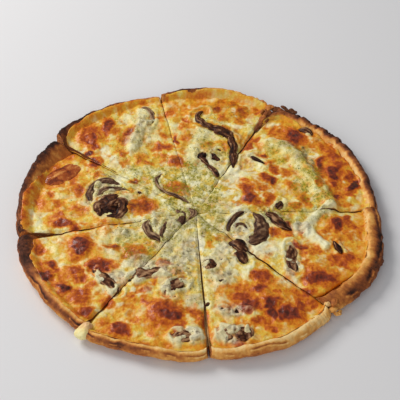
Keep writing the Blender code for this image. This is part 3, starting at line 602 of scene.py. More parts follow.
def blister_cover(place):
    """How browned the blisters are with their halos, and how far each swells."""
    tone = np.zeros(place.shape[:-1])
    swell = np.zeros(place.shape[:-1])
    for x, y, width, height, strength in BLISTERS:
        away = np.hypot((place[..., 0] - x) / (width / 2), (place[..., 1] - y) / (height / 2))
        core = strength * smooth((1.35 - away) / 0.65)
        halo = min(strength - 0.1, 0.56) * smooth((2.3 - away) / 1.4)
        tone = np.maximum(tone, np.maximum(core, halo))
        swell = np.maximum(swell, smooth((1.5 - away) / 0.8) * (strength - 0.2) * min(width, height) / 10)
    return tone, swell


def topping_paths():
    """Half width, melted cover and path of everything that lies in the cheese."""
    for _, _, covered, path in BEEF_STRIPS:
        yield max(point[2] for point in path), covered, [point[:2] for point in path]
    for *_, covered, curls in MUSHROOMS:
        for _, path in curls:
            yield max(point[2] for point in path), covered, [point[:2] for point in path]
    for _, place, (length, width, _), turn, covered in BEEF_LUMPS:
        heading = direction(turn if length >= width else turn + 90.0)
        reach = heading * max(abs(length - width), SHORTEST_PATH) / 2
        yield min(length, width) / 2, covered, [place - reach, place + reach]
    for x, y, length, _, _ in BEEF_SCRAPS:
        yield length / 2, SCRAP_COVER, [(x, y), (x + SHORTEST_PATH, y)]


def melted_over(place):
    """Where cheese has run over the toppings, from 0 to 1."""
    rough = wander(place, 8.0, 2.4, 39)
    gaps = layered(rough, 9.0, 33, 2)
    cover = np.zeros(place.shape[:-1])
    for half_width, covered, path in topping_paths():
        near = smooth((half_width + 2.6 - path_distance(rough, path)) / 3.6)
        bare = 0.45 - 0.85 * covered
        cover = np.maximum(cover, near * rise(bare, bare + 0.35, gaps))
    return cover


def collar_rise(place):
    """How far the cheese creeps up against the toppings and runs over them."""
    collar = 2.7 * melted_over(place)
    for half_width, _, path in topping_paths():
        distance = path_distance(place, path)
        collar = np.maximum(collar, np.exp(-((distance - half_width - 0.6) / 1.8) ** 2))
    return collar


def cheese_surface(place):
    """Height of the browned cheese at each place, away from its edges."""
    rough = wander(place, 7.0, 1.8, 31)
    _, swell = blister_cover(ragged_place(place))
    height = cheese_level(place) + ridge_rise(place) + swell + collar_rise(place)
    height = height + 1.5 * meat_grey_and_shade(place) * rise(-0.4, 0.6, layered(rough, 8.0, 57, 2))
    folds = 1 - np.abs(layered(wander(place, 11.0, 3.0, 53), 13.0, 55, 2)) * 2
    relief = 0.9 * layered(place, 9.0, 51, 2) + 0.7 * folds + 0.32 * layered(place, 4.0, 61, 2)
    return height + relief * (1 - 0.5 * melted_over(place)) - 0.5


def browning(place):
    """How browned the cheese is, from 0, cream, to 1, burnt."""
    radius = np.hypot(place[..., 0], place[..., 1])
    marbling = layered(wander(place, 12.0, 4.5, 17), 10.0, 11, 4)
    tone = 0.15 + 0.11 * rise(25.0, 120.0, radius) + (0.22 + 0.06 * rise(35.0, 105.0, radius)) * marbling
    field = strongest(wander(wander(place, 20.0, 7.0, 9), 7.0, 3.0, 10), BROWNED_FIELDS)
    tone = np.maximum(tone, field * (0.9 + 0.55 * marbling))
    cover, _ = blister_cover(ragged_place(place))
    tone = np.maximum(tone, cover * (0.96 + 0.22 * layered(place, 3.0, 13, 2)))
    return tone + 0.06 * layered(place, 2.4, 15, 2)


def ridge_cover(place, spread):
    """How strongly the pale ridges cover each place, out to a spread of their half widths."""
    cover = np.zeros(place.shape[:-1])
    for path, half_width, _, paleness in RIDGES:
        cover = np.maximum(cover, paleness * smooth(spread - path_distance(place, path) / half_width))
    return cover


def ridge_paleness(place):
    """How pale the raised ridges leave the cheese."""
    return ridge_cover(wander(place, 6.0, 2.0, 22), 1.5)


def creaminess(place):
    """How much pale cheese covers each place."""
    rough = wander(wander(place, 9.0, 4.0, 21), 3.5, 1.4, 22)
    pale = np.maximum(strongest(rough, CREAM_PATCHES), ridge_paleness(place))
    streaks = rise(0.15, 0.5, layered(wander(place, 10.0, 4.0, 25), 10.0, 24))
    middle = 1 - rise(30.0, 90.0, np.hypot(place[..., 0], place[..., 1]))
    blobs = rise(0.05, 0.3, layered(wander(place, 5.0, 2.0, 26), 6.5, 28, 3)) * (0.35 + 0.65 * middle)
    pale = np.maximum(pale * (0.8 + 0.9 * layered(place, 5.0, 23, 2)), np.maximum(0.75 * streaks, blobs))
    return np.clip(pale, 0.0, 1.0)


def meat_grey_and_shade(place):
    """How much the meat beneath greys the cheese, together with the painted shade that some of the patches
    lay down.
    """
    shade = strongest(wander(place, 6.0, 2.6, 27), MEAT_GREYS_AND_SHADE)
    return np.clip(shade * (1.0 + 1.2 * layered(place, 6.5, 29)), 0.0, 1.0)


def herb_dust(place):
    """How thickly herbs lie, thinner on the pale ridges."""
    rough = wander(place, 14.0, 5.0, 35)
    dust = strongest(rough, HERB_DUSTINGS) * (0.95 + 1.9 * layered(place, 8.0, 37, 3))
    return np.clip(dust * (1 - 0.35 * ridge_cover(rough, 1.1)), 0.0, 1.0)


def srgb(colour):
    """A screen colour as the linear values that a shader takes."""
    share = np.array(colour) / 255.0
    linear = np.where(share <= 0.04045, share / 12.92, ((share + 0.055) / 1.055) ** 2.4)
    return (*linear.tolist(), 1.0)


def add_node(tree, kind, inputs=None, **settings):
    """Add a node, set its options, then fill or link its inputs by name or number."""
    node = tree.nodes.new(kind)
    for name, value in settings.items():
        setattr(node, name, value)
    for key, value in (inputs or {}).items():
        if isinstance(value, bpy.types.NodeSocket):
            tree.links.new(value, node.inputs[key])
        else:
            node.inputs[key].default_value = value
    return node


def new_group(name, kind, inputs, outputs):
    """An empty node group with named sockets, each given as a name, kind and default."""
    tree = bpy.data.node_groups.new(name, kind)
    for socket, socket_kind, default in inputs:
        made = tree.interface.new_socket(name=socket, in_out="INPUT", socket_type=socket_kind)
        if default is not None:
            made.default_value = default
    for socket, socket_kind in outputs:
        tree.interface.new_socket(name=socket, in_out="OUTPUT", socket_type=socket_kind)
    return tree, tree.nodes.new("NodeGroupInput"), tree.nodes.new("NodeGroupOutput")


def maths(tree, operation, first, second=0.0, third=0.0, clamp=False):
    """Add a Math node and return its value."""
    return add_node(tree, "ShaderNodeMath", {0: first, 1: second, 2: third}, operation=operation,
                    use_clamp=clamp).outputs[0]


def blend_colours(tree, share, first, second):
    """Blend from the first colour to the second."""
    return add_node(tree, "ShaderNodeMix", {0: share, 6: first, 7: second}, data_type="RGBA").outputs[2]


def colour_ramp(tree, value, colours):
    """A ramp through screen colours, each with its place from 0 to 1."""
    node = add_node(tree, "ShaderNodeValToRGB", {"Fac": value})
    stops = node.color_ramp.elements
    while len(stops) < len(colours):
        stops.new(0.5)
    for stop, (place, colour) in zip(stops, colours):
        stop.position = place
        stop.color = srgb(colour)
    return node.outputs["Color"]


def attribute(tree, name):
    """A value that the mesh carries, for a shader."""
    return add_node(tree, "ShaderNodeAttribute", attribute_name=name).outputs["Fac"]


def per_metre(size):
    """A texture scale that gives patches of a size in millimetres."""
    return 1.0 / (size * MM)


def cloud_texture(tree, size, detail, roughness):
    """Noise fixed to the food, with patches of a size in millimetres."""
    place = tree.nodes.new("ShaderNodeTexCoord").outputs["Object"]
    return add_node(tree, "ShaderNodeTexNoise", {
        "Vector": place, "Scale": per_metre(size), "Detail": detail, "Roughness": roughness}).outputs["Fac"]


def unevenness(tree, noise, amount):
    """Centre a noise on zero and scale it."""
    return maths(tree, "MULTIPLY", maths(tree, "SUBTRACT", noise, 0.5), amount)


def map_range(tree, value, to_low=0.0, to_high=1.0, low=0.0, high=1.0):
    """Turn a value between low and high into one between to_low and to_high."""
    return add_node(tree, "ShaderNodeMapRange", {
        "Value": value, "From Min": low, "From Max": high, "To Min": to_low,
        "To Max": to_high}).outputs["Result"]


def speckle_group():
    """Fine unevenness on Object coordinates: a value around zero and a height for bumps."""
    kind = "NodeSocketFloat"
    tree, inward, outward = new_group(
        "fine speckle", "ShaderNodeTree",
        (("Size", kind, 1.5), ("Amount", kind, 0.1), ("Roughness", kind, 0.6)),
        (("Value", kind), ("Height", kind)))
    grain = cloud_texture(tree, 1.0, 3.0, inward.outputs["Roughness"])
    scale = maths(tree, "DIVIDE", per_metre(1.0), inward.outputs["Size"])
    tree.links.new(scale, grain.node.inputs["Scale"])
    tree.links.new(unevenness(tree, grain, inward.outputs["Amount"]), outward.inputs["Value"])
    tree.links.new(grain, outward.inputs["Height"])
    return tree


def toasting_group():
    """Dough from pale through golden and brown to char, with freckles."""
    kind = "NodeSocketFloat"
    tree, inward, outward = new_group(
        "dough toasting", "ShaderNodeTree", (("Toast", kind, 0.4), ("Oil", kind, 0.0)),
        (("Colour", "NodeSocketColor"), ("Char", kind)))
    freckles = unevenness(tree, cloud_texture(tree, 2.4, 4.0, 0.62), 0.34)
    toast = maths(tree, "ADD", inward.outputs["Toast"], freckles, clamp=True)
    dough = colour_ramp(tree, toast, DOUGH_COLOURS)
    oiled = blend_colours(tree, inward.outputs["Oil"], dough, srgb(OIL_COLOUR))
    tree.links.new(oiled, outward.inputs["Colour"])
    tree.links.new(map_range(tree, toast, low=0.6, high=0.95), outward.inputs["Char"])
    return tree


def browning_group():
    """Melted cheese from cream through gold and orange to dark red-brown."""
    kind = "NodeSocketFloat"
    tree, inward, outward = new_group(
        "cheese browning", "ShaderNodeTree",
        (("Browned", kind, 0.2), ("Cream", kind, 0.0), ("Meat", kind, 0.0), ("Herbs", kind, 0.0)),
        (("Colour", "NodeSocketColor"), ("Gloss", kind), ("Height", kind)))
    browned_in, cream_in, meat_in, herbs_in = inward.outputs[:4]
    fine = cloud_texture(tree, 1.6, 3.0, 0.65)
    browned = maths(tree, "ADD", browned_in, unevenness(tree, fine, 0.34), clamp=True)
    colour = colour_ramp(tree, browned, BROWNING_COLOURS)
    colour = blend_colours(tree, maths(tree, "MULTIPLY", cream_in, 0.92), colour, srgb(CREAM_COLOUR))
    # The grey-mauve of meat beneath, which also serves as painted shade in hollows and beside the ridges
    dark_dots = map_range(tree, cloud_texture(tree, 4.2, 3.0, 0.55), low=0.46, high=0.66)
    meat = blend_colours(tree, dark_dots, srgb(MEAT_AND_SHADE_PALE), srgb(MEAT_AND_SHADE_DARK))
    colour = blend_colours(tree, maths(tree, "MULTIPLY", meat_in, 0.85), colour, meat)
    patches = map_range(tree, cloud_texture(tree, 2.4, 3.0, 0.7), to_low=0.24, low=0.42, high=0.6)
    dust = maths(tree, "MULTIPLY", herbs_in, patches)
    colour = blend_colours(tree, dust, colour, srgb(HERB_TINT))
    tree.links.new(colour, outward.inputs["Colour"])
    tree.links.new(maths(tree, "ADD", browned, 0.1, clamp=True), outward.inputs["Gloss"])
    tree.links.new(fine, outward.inputs["Height"])
    return tree


def use_group(tree, group, inputs):
    """Put a shared group to use and return its outputs."""
    return add_node(tree, "ShaderNodeGroup", inputs, node_tree=group).outputs


def new_material(name, **sockets):
    """A material whose Principled shader has the given plain values."""
    material = bpy.data.materials.new(name)
    material.use_nodes = True
    shader = material.node_tree.nodes["Principled BSDF"]
    for socket, value in sockets.items():
        shader.inputs[socket.replace("_", " ").title().replace("Ior", "IOR")].default_value = value
    return material, material.node_tree, shader


def bump(tree, shader, height, distance, strength=1.0):
    """Raise the shader's surface by a height map, with a depth in millimetres."""
    node = add_node(tree, "ShaderNodeBump", {
        "Height": height, "Distance": distance * MM, "Strength": strength})
    tree.links.new(node.outputs["Normal"], shader.inputs["Normal"])


def dough_material(name, toasting, speckle):
    """Toasted dough, duller where it is charred and glossy where oil has soaked in."""
    material, tree, shader = new_material(name, specular_ior_level=0.25, coat_roughness=0.35)
    oil = attribute(tree, "oil")
    toast = use_group(tree, toasting, {"Toast": attribute(tree, "toast"), "Oil": oil})
    grain = use_group(tree, speckle, {"Size": 0.9, "Amount": 1.0, "Roughness": 0.7})
    tree.links.new(toast["Colour"], shader.inputs["Base Color"])
    tree.links.new(map_range(tree, toast["Char"], 0.62, 0.9), shader.inputs["Roughness"])
    tree.links.new(maths(tree, "MULTIPLY", oil, 0.5), shader.inputs["Coat Weight"])
    bump(tree, shader, grain["Height"], 0.5, 0.8)
    return material


def crumb_material(toasting, speckle):
    """The torn, airy inside of the crust that the cuts show."""
    material, tree, shader = new_material("open_crumb", roughness=0.9)
    grain = use_group(tree, speckle, {"Size": 1.2, "Amount": 0.5, "Roughness": 0.6})
    toast = use_group(tree, toasting, {"Toast": maths(tree, "ADD", grain["Value"], 0.5), "Oil": 0.0})
    tree.links.new(toast["Colour"], shader.inputs["Base Color"])
    bump(tree, shader, grain["Height"], 0.8)
    return material


def cheese_material(name, browning_tree, speckle):
    """Melted cheese, glossier where it has browned."""
    material, tree, shader = new_material(name, specular_ior_level=0.22, coat_roughness=0.16)
    look = use_group(tree, browning_tree, {
        label.title(): attribute(tree, label) for label in ("browned", "cream", "meat", "herbs")})
    grain = use_group(tree, speckle, {"Size": 2.2, "Amount": 1.0, "Roughness": 0.55})
    tree.links.new(look["Colour"], shader.inputs["Base Color"])
    tree.links.new(map_range(tree, look["Gloss"], 0.5, 0.34), shader.inputs["Roughness"])
    tree.links.new(maths(tree, "MULTIPLY", look["Gloss"], 0.24), shader.inputs["Coat Weight"])
    bump(tree, shader, grain["Height"], 0.7)
    return material


def fibre_material(name, colours, speckle, gloss):
    """Cooked food whose fibres come from the mesh's own fibre attribute."""
    material, tree, shader = new_material(name, roughness=0.5, specular_ior_level=0.12, coat_weight=gloss,
                                          coat_roughness=0.12)
    grain = use_group(tree, speckle, {"Size": 0.9, "Amount": 0.5, "Roughness": 0.65})
    patch = use_group(tree, speckle, {"Size": 4.0, "Amount": 0.6, "Roughness": 0.6})
    tone = maths(tree, "ADD", attribute(tree, "fibre"), grain["Value"])
    tone = maths(tree, "ADD", tone, patch["Value"], clamp=True)
    tree.links.new(colour_ramp(tree, tone, colours), shader.inputs["Base Color"])
    bump(tree, shader, grain["Height"], 0.8, 0.8)
    return material


def plain_material(name, colour, speckle, roughness):
    """One colour with fine lighter and darker grains."""
    material, tree, shader = new_material(name, roughness=roughness)
    grain = use_group(tree, speckle, {"Size": 0.6, "Amount": 0.7, "Roughness": 0.6})
    light = maths(tree, "ADD", grain["Value"], 0.5, clamp=True)
    darker = srgb([channel * 0.7 for channel in colour])
    lighter = srgb([min(channel * 1.25, 255) for channel in colour])
    tree.links.new(blend_colours(tree, light, darker, lighter), shader.inputs["Base Color"])
    bump(tree, shader, grain["Height"], 0.3, 0.5)
    return material


def make_object(name, data):
    """Put a mesh, light or camera into the scene."""
    item = bpy.data.objects.new(name, data)
    bpy.context.scene.collection.objects.link(item)
    return item


def hand_over(item, slot, *nodes):
    """Let a finished piece ride on the pizza, in place of its plain solids."""
    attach(item, "root")
    if nodes:
        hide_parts(*nodes)


def set_attribute(mesh, name, values):
    """Store one value for each point of a mesh."""
    layer = mesh.attributes.new(name, "FLOAT", "POINT")
    layer.data.foreach_set("value", np.ascontiguousarray(values, dtype=np.float32).ravel())


def read_attribute(mesh, name):
    """The values stored for the points of a mesh."""
    values = np.empty(len(mesh.vertices), dtype=np.float32)
    mesh.attributes[name].data.foreach_get("value", values)
    return values


def mesh_from_points(name, points, faces, materials, flat_faces=()):
    """A closed mesh from points in millimetres, facing outwards."""
    mesh = bpy.data.meshes.new(name)
    mesh.from_pydata(((points + MIDDLE) * MM).tolist(), [], faces)
    for material in materials:
        mesh.materials.append(material)
    mesh.polygons.foreach_set("use_smooth", [True] * len(mesh.polygons))
    for index in flat_faces:
        mesh.polygons[index].use_smooth = False
        mesh.polygons[index].material_index = len(materials) - 1
    shape = bmesh.new()
    shape.from_mesh(mesh)
    bmesh.ops.recalc_face_normals(shape, faces=shape.faces)
    shape.to_mesh(mesh)
    shape.free()
    return mesh


def ring_faces(rings, size):
    """Quads between neighbouring closed rings of points, numbered ring by ring."""
    first = np.arange(rings - 1)[:, None] * size + np.arange(size)[None, :]
    after = np.arange(rings - 1)[:, None] * size + (np.arange(size)[None, :] + 1) % size
    return np.stack([first, first + size, after + size, after], axis=-1).reshape(-1, 4).tolist()


def shell_faces(rings, size):
    """Faces of a closed shell: the quads between its rings, then its two ends."""
    last = (rings - 1) * size
    return ring_faces(rings, size) + [list(range(size)), [last + i for i in range(size)]]


def loft(name, points, materials):
    """Join equal closed outlines, one for each angle, into a solid with flat ends."""
    faces = shell_faces(*points.shape[:2])
    flat = (len(faces) - 2, len(faces) - 1)
    return mesh_from_points(name, points.reshape(-1, 3), faces, materials, flat)


def slice_angles(piece, spacing):
    """Angles across a slice that lie a spacing apart at its rim."""
    count = round(math.radians(piece.end - piece.start) * max(piece.outer) / spacing)
    return np.linspace(piece.start, piece.end, count + 1)


def onto_slice(piece, degrees, length):
    """Places at lengths along a slice's rays."""
    return apex(piece) + direction(degrees)[:, None, :] * length[..., None]


def onto_rim(piece, degrees, rim):
    """Places on the rim's outline."""
    return onto_slice(piece, degrees, rim.reach[:, None])[:, 0]


def crust_outline(rim):
    """The crust's outline at each angle: lengths, heights and how far round it each point is.

    The last runs from 0 at the foot to 1 at the widest point, 2 at the crest and 3 at the floor.
    """
    reach, height, lip, slope = (value[:, None] for value in rim)
    bulge = height * BULGE_HEIGHT
    under = np.linspace(0.0, 1.0, UNDERSIDE_ROWS, endpoint=False)
    turn = np.linspace(0.0, np.pi / 2, WALL_ROWS, endpoint=False)
    inner = np.linspace(0.0, 1.0, SLOPE_ROWS)
    floor = np.linspace(0.0, 1.0, FLOOR_ROWS + 1)[1:]
    foot = reach - lip - FOOT_TUCK
    wall_foot = reach - lip - slope
    lengths = [TIP_RADIUS + (foot - TIP_RADIUS) * under,
               reach - (lip + FOOT_TUCK) * (1 - np.sin(turn)),
               reach - lip * (1 - np.cos(turn)),
               reach - lip - slope * inner,
               wall_foot + (TIP_RADIUS - wall_foot) * floor]
    heights = [np.zeros((len(reach), UNDERSIDE_ROWS)),
               bulge * (1 - np.cos(turn)),
               bulge + (height - bulge) * np.sin(turn),
               wall_height(rim, inner[None, :]),
               np.full((len(reach), FLOOR_ROWS), CRUST_THICKNESS)]
    share = turn / (np.pi / 2)
    round_it = [0 * under, share, 1 + share, 2 + inner, 0 * floor + 3]
    return np.concatenate(lengths, axis=1), np.concatenate(heights, axis=1), np.concatenate(round_it)


def blend_across(rows, knots, round_it):
    """Blend values given along a slice at knots round the outline."""
    rows = np.stack(rows, axis=1)
    index = np.clip(np.searchsorted(knots, round_it, side="right") - 1, 0, len(knots) - 2)
    knots = np.asarray(knots, dtype=float)
    share = smooth((round_it - knots[index]) / (knots[index + 1] - knots[index]))
    return rows[:, index] * (1 - share) + rows[:, index + 1] * share


def cut_distances(piece, degrees, length):
    """Distance from the slice's first and last cuts."""
    from_start = np.sin(np.radians(np.minimum(degrees - piece.start, 90.0)))[:, None] * length
    from_end = np.sin(np.radians(np.minimum(piece.end - degrees, 90.0)))[:, None] * length
    return from_start, from_end


def cut_sides(piece):
    """The slice's two cuts: whose first cut it is, half its angle, and the way out across it."""
    place = SLICES.index(piece)
    before, after = SLICES[place - 1], SLICES[(place + 1) % len(SLICES)]
    yield piece.name, (piece.start - before.end) % 360 / 2, direction(piece.start - 90.0)
    yield after.name, (after.start - piece.end) % 360 / 2, direction(piece.end + 90.0)


def shift_sides(piece, degrees, length, reach, closing):
    """Move a slice's sides: towards each cut by its closing share, and back where the rim gapes."""
    place = onto_slice(piece, degrees, length)
    for (name, half_angle, outward), distance, closed in zip(
            cut_sides(piece), cut_distances(piece, degrees, length), closing):
        half_gap = KERF / 2 + np.minimum(length * math.radians(half_angle), WIDEST_CLOSED)
        shift = half_gap * closed * np.exp(-(distance / CUT_SOFTNESS) ** 2)
        at_rim = rise(0.9, 1.0, length / reach[:, None])
        gaping = CUT_FLARES[name] * at_rim * np.exp(-(distance / FLARE_REACH) ** 2)
        place = place + outward * (shift - gaping)[..., None]
    return place


def torn_rim(rim, on_rim, ragged):
    """The rim with its uneven outline and crest, torn where it is ragged."""
    torn = np.maximum(0.0, layered(on_rim, 4.2, 71, 3)) * ragged
    height = rim.height + 0.9 * layered(on_rim, 14.0, 73, 2) - 2.4 * torn
    reach = rim.reach + (0.7 + ragged) * layered(on_rim, 10.0, 75, 3) - 1.8 * torn
    return rim._replace(height=height, reach=reach)


def rim_fold(on_rim, round_it):
    """How deep the fold along the outer rim is, and how strong the paler band below it."""
    fold_at = FOLD_AT + 0.3 * layered(on_rim, 26.0, 76, 2)[:, None]
    present = rise(-0.3, 0.3, clouds(on_rim, 18.0, 78))[:, None]
    fold = np.exp(-((round_it - fold_at) / 0.09) ** 2) * present
    band = np.exp(-((round_it - fold_at + 0.14) / 0.06) ** 2) * (fold.max(axis=1) > 0.3)[:, None]
    return fold, band


def push_out(points, lengths, heights, rays, push):
    """Move points out of the crust, square to the outlines that they lie on."""
    rise_along = np.gradient(heights, axis=1)
    run_along = np.gradient(lengths, axis=1)
    size = np.hypot(rise_along, run_along) + 1e-6
    points[..., :2] += rays[:, None, :] * (push * rise_along / size)[..., None]
    points[..., 2] -= push * run_along / size
    points[..., 2] = np.maximum(points[..., 2], 0.0)


def toast_tones(bake, share, points, round_it, fold, band):
    """How toasted each point of the crust is, from 0, pale, to 1, char; the pale south and south-east crests
    hold painted light as well.
    """
    rows = [along(getattr(bake, part), share) for part in ("outer", "lip", "crest", "inner", "inner")]
    toast = blend_across([np.full_like(share, FOOT_TONE), *rows], TOAST_KNOTS, round_it)
    toast = toast + 0.24 * layered(points, 14.0, 81, 4) + 0.10 * layered(points, 2.6, 83, 2)
    streaks = 0.2 * layered(points * (1.0, 1.0, 0.4), 5.0, 82, 3)
    toast = toast + streaks * rise(1.9, 2.1, round_it) + 0.3 * fold - 0.3 * band
    underside = 0.5 + 0.16 * layered(points, 12.0, 85, 3)
    return np.clip(np.where(round_it <= 0, underside, toast), 0.0, 1.0)


def crust_points(piece):
    """The crust's points, and how toasted, oily and ragged each is."""
    angles = slice_angles(piece, CRUST_SPACING)
    share = slice_share(piece, angles)
    bake = BAKES[piece.name]
    ragged = along(bake.ragged, share)
    rim = rim_at(piece, angles)
    on_rim = onto_rim(piece, angles, rim)
    rim = torn_rim(rim, on_rim, ragged)
    lengths, heights, round_it = crust_outline(rim)
    shut_below = 0.96 * rise(9.0, 4.0, heights)
    place = shift_sides(piece, angles, lengths, rim.reach, (shut_below, shut_below))
    points = np.concatenate([place, heights[..., None]], axis=-1)
    fold, band = rim_fold(on_rim, round_it)
    free = blend_across([0 * share, 0.3 + ragged, 0.5 + ragged, 0.5 + 0 * share, 0 * share],
                        ROUGH_KNOTS, round_it)
    push = free * (0.6 * layered(points, 5.0, 77, 3) + 0.16 * clouds(points, 1.3, 79) - 0.8 * fold)
    push_out(points, lengths, heights, direction(angles), push)
    toast = toast_tones(bake, share, points, round_it, fold, band)
    oil = rise(2.25, 2.7, round_it) * (0.45 + 0.5 * layered(points, 10.0, 87, 2))
    return points, toast, np.clip(oil, 0.0, 1.0), ragged


def make_crust(piece, dough, crumb):
    """One slice's crust, with a map of where charred flakes are to lie along its crest."""
    points, toast, oil, ragged = crust_points(piece)
    mesh = loft("baked_crust_" + piece.name, points, [dough, crumb])
    set_attribute(mesh, "toast", toast)
    set_attribute(mesh, "oil", oil)
    crest = np.exp(-((points[..., 2] - points[..., 2].max(axis=1)[:, None]) / 2.0) ** 2)
    set_attribute(mesh, "flaking", crest * ragged[:, None] * rise(0.6, 0.8, toast))
    item = make_object(mesh.name, mesh)
    hand_over(item, "baked_crust", "crust_" + piece.name)
    return item


def cheese_reach(piece, angles, rim):
    """How far out the cheese goes along each ray, part way up the rim's inner wall."""
    climb = along(CHEESE_CLIMB[piece.name], slice_share(piece, angles))
    climb = climb + 0.13 * layered(onto_rim(piece, angles, rim), 14.0, 91, 3)
    return (rim.reach - rim.lip - rim.slope * np.clip(climb, 0.06, 1.0))[:, None]


def cheese_underside(rim, edge_share):
    """Lengths and heights under the cheese, from the tip out over the floor and up the wall."""
    share = 1 - np.linspace(0.0, 1.0, SLOPE_STEPS + 1)[None, :] * (1 - edge_share)
    wall_length = rim.reach[:, None] - rim.lip[:, None] - rim.slope[:, None] * share
    floor_length = np.stack([np.full_like(rim.reach, TIP_RADIUS), rim.reach * 0.5], axis=1)
    floor_height = np.full_like(floor_length, CRUST_THICKNESS + GAP)
    return (np.concatenate([floor_length, wall_length], axis=1),
            np.concatenate([floor_height, wall_height(rim, share) + GAP / 3], axis=1))


def cheese_points(piece):
    """The cheese's angles, lengths and heights: in over its top to the tip, then back under it."""
    angles = slice_angles(piece, CHEESE_SPACING)
    rim = rim_at(piece, angles)
    edge = cheese_reach(piece, angles, rim)
    rows = round(float(edge.mean()) / CHEESE_SPACING)
    length = edge + (TIP_RADIUS - edge) * np.linspace(0.0, 1.0, rows)[None, :]
    share = (rim.reach[:, None] - rim.lip[:, None] - length) / rim.slope[:, None]
    level = cheese_surface(onto_slice(piece, angles, length))
    on_wall = wall_height(rim, share) + CHEESE_EDGE
    top = np.where(share >= 1, level, np.maximum(level, on_wall))
    top = top - (CHEESE_EDGE - GAP) * smooth(1 - (edge - length) / 2.5)
    under_length, under_height = cheese_underside(rim, share[:, :1])
    lengths = np.concatenate([length, under_length], axis=1)
    heights = np.concatenate([top, under_height], axis=1)
    return angles, lengths, heights, rows


def close_cuts(piece, angles, lengths, heights, rows):
    """Round the cheese over at the cuts, and let it flow together where they have healed."""
    reach = rim_at(piece, angles).reach
    outward = lengths / lengths.max()
    along_cut = outward[..., None] * (20.0, 0.0)
    opened = [np.clip(along(CUT_OPENNESS[name], outward)
                      * (1 + 0.6 * layered(along_cut, 1.6, piece.start + half_angle, 2)), 0.0, 1.3)
              for name, half_angle, _ in cut_sides(piece)]
    place = shift_sides(piece, angles, lengths, reach, [1 - open_share for open_share in opened])
    heights = heights.copy()
    for open_share, distance in zip(opened, cut_distances(piece, angles, lengths)):
        drop = (0.3 + 1.7 * open_share) * (1 - smooth(distance / (1.5 + 1.7 * open_share)))
        heights[:, :rows] -= drop[:, :rows]
    return place, heights


def hollows(heights, rows, reach=3):
    """How far the cheese's top lies below the mean of the points around it, in millimetres."""
    around = heights[:, :rows]
    for axis in (0, 1):
        edge = [(reach, reach) if axis == side else (0, 0) for side in (0, 1)]
        padded = np.pad(around, edge, mode="edge")
        windows = np.lib.stride_tricks.sliding_window_view(padded, 2 * reach + 1, axis=axis)
        around = windows.mean(axis=-1)
    depth = np.zeros_like(heights)
    depth[:, :rows] = around - heights[:, :rows]
    return depth


def cheese_tones(piece, place, lengths, heights, rows):
    """How browned, creamy, meaty and herby the cheese is at each point, with painted shade in its hollows and
    painted highlight on its raised places mixed in.
    """
    inward = lengths[:, :1] - lengths
    near_rim = smooth(1 - inward / RIM_BROWNING_WIDTH)
    # How deep each hollow is, used to paint shade into hollows and highlight onto raised places, faded out
    # near the rim
    hollow = hollows(heights, rows) * smooth(inward / SHADE_AND_HIGHLIGHT_START)
    middle = 1 - rise(40.0, 120.0, np.hypot(place[..., 0], place[..., 1]))
    over = melted_over(place)
    herbs = herb_dust(place)
    browned = browning(place)
    # Towards the rim the cheese takes its edge tone, which at the north slice is partly painted light
    edge_tone = EDGE_TONES[piece.name] + 0.3 * layered(place, 8.0, 93, 3)
    browned = browned + near_rim * (np.maximum(browned, edge_tone) - browned)
    browned = browned * (1 - 0.4 * over) * (1 - 0.6 * ridge_paleness(place))
    # Painted shade and highlight: hollows are browned darker, raised places a little paler, and raised lumps
    # near the middle creamier
    browned = browned + 0.2 * np.clip(hollow, -0.3, 0.6)
    raised = 0.6 * rise(0.05, 0.4, -hollow) * (0.25 + 0.75 * middle)
    cream = (1 - 0.8 * near_rim) * np.maximum(np.maximum(creaminess(place), 0.55 * over), raised)
    cream = cream * (1 - rise(0.27, 0.42, browned)) * (1 - 0.6 * herbs)
    # Meat beneath greys the cheese, and hollows near the middle take the same grey as painted shade
    meat = np.maximum(meat_grey_and_shade(place), 0.5 * over) + 0.6 * middle * rise(0.12, 0.45, hollow)
    meat = np.clip(meat, 0.0, 1.0) * (1 - rise(0.5, 0.75, browned))
    on_top = np.arange(lengths.shape[1]) < rows
    herbs = herbs * (1 - 0.7 * rise(0.5, 0.8, browned)) * on_top
    # The browned, cream and meat values hold painted shade and painted highlight besides the cheese's own
    # colour
    return {"browned": np.clip(browned, 0.0, 1.0), "cream": cream, "meat": meat, "herbs": herbs}


def make_cheese(piece, materials):
    """One slice's layer of browned cheese."""
    angles, lengths, heights, rows = cheese_points(piece)
    place, heights = close_cuts(piece, angles, lengths, heights, rows)
    points = np.concatenate([place, heights[..., None]], axis=-1)
    mesh = loft("browned_cheese_" + piece.name, points, materials)
    for label, values in cheese_tones(piece, place, lengths, heights, rows).items():
        set_attribute(mesh, label, values)
    item = make_object(mesh.name, mesh)
    hand_over(item, "melted_cheese", "cheese_" + piece.name)
    return item


def store(tree, geometry, name, value):
    """Keep a value on a geometry under a name."""
    return add_node(tree, "GeometryNodeStoreNamedAttribute", {
        "Geometry": geometry, "Name": name, "Value": value}).outputs[0]


def stored(tree, name):
    """Read back a value kept on a geometry."""
    return add_node(tree, "GeometryNodeInputNamedAttribute", {"Name": name}, data_type="FLOAT").outputs[0]


def pass_out(tree, outward, geometry, material):
    """Realize what a tree has made, give it its material and pass it out."""
    real = add_node(tree, "GeometryNodeRealizeInstances", {"Geometry": geometry})
    finished = add_node(tree, "GeometryNodeSetMaterial", {
        "Geometry": real.outputs[0], "Material": material})
    tree.links.new(finished.outputs[0], outward.inputs[0])


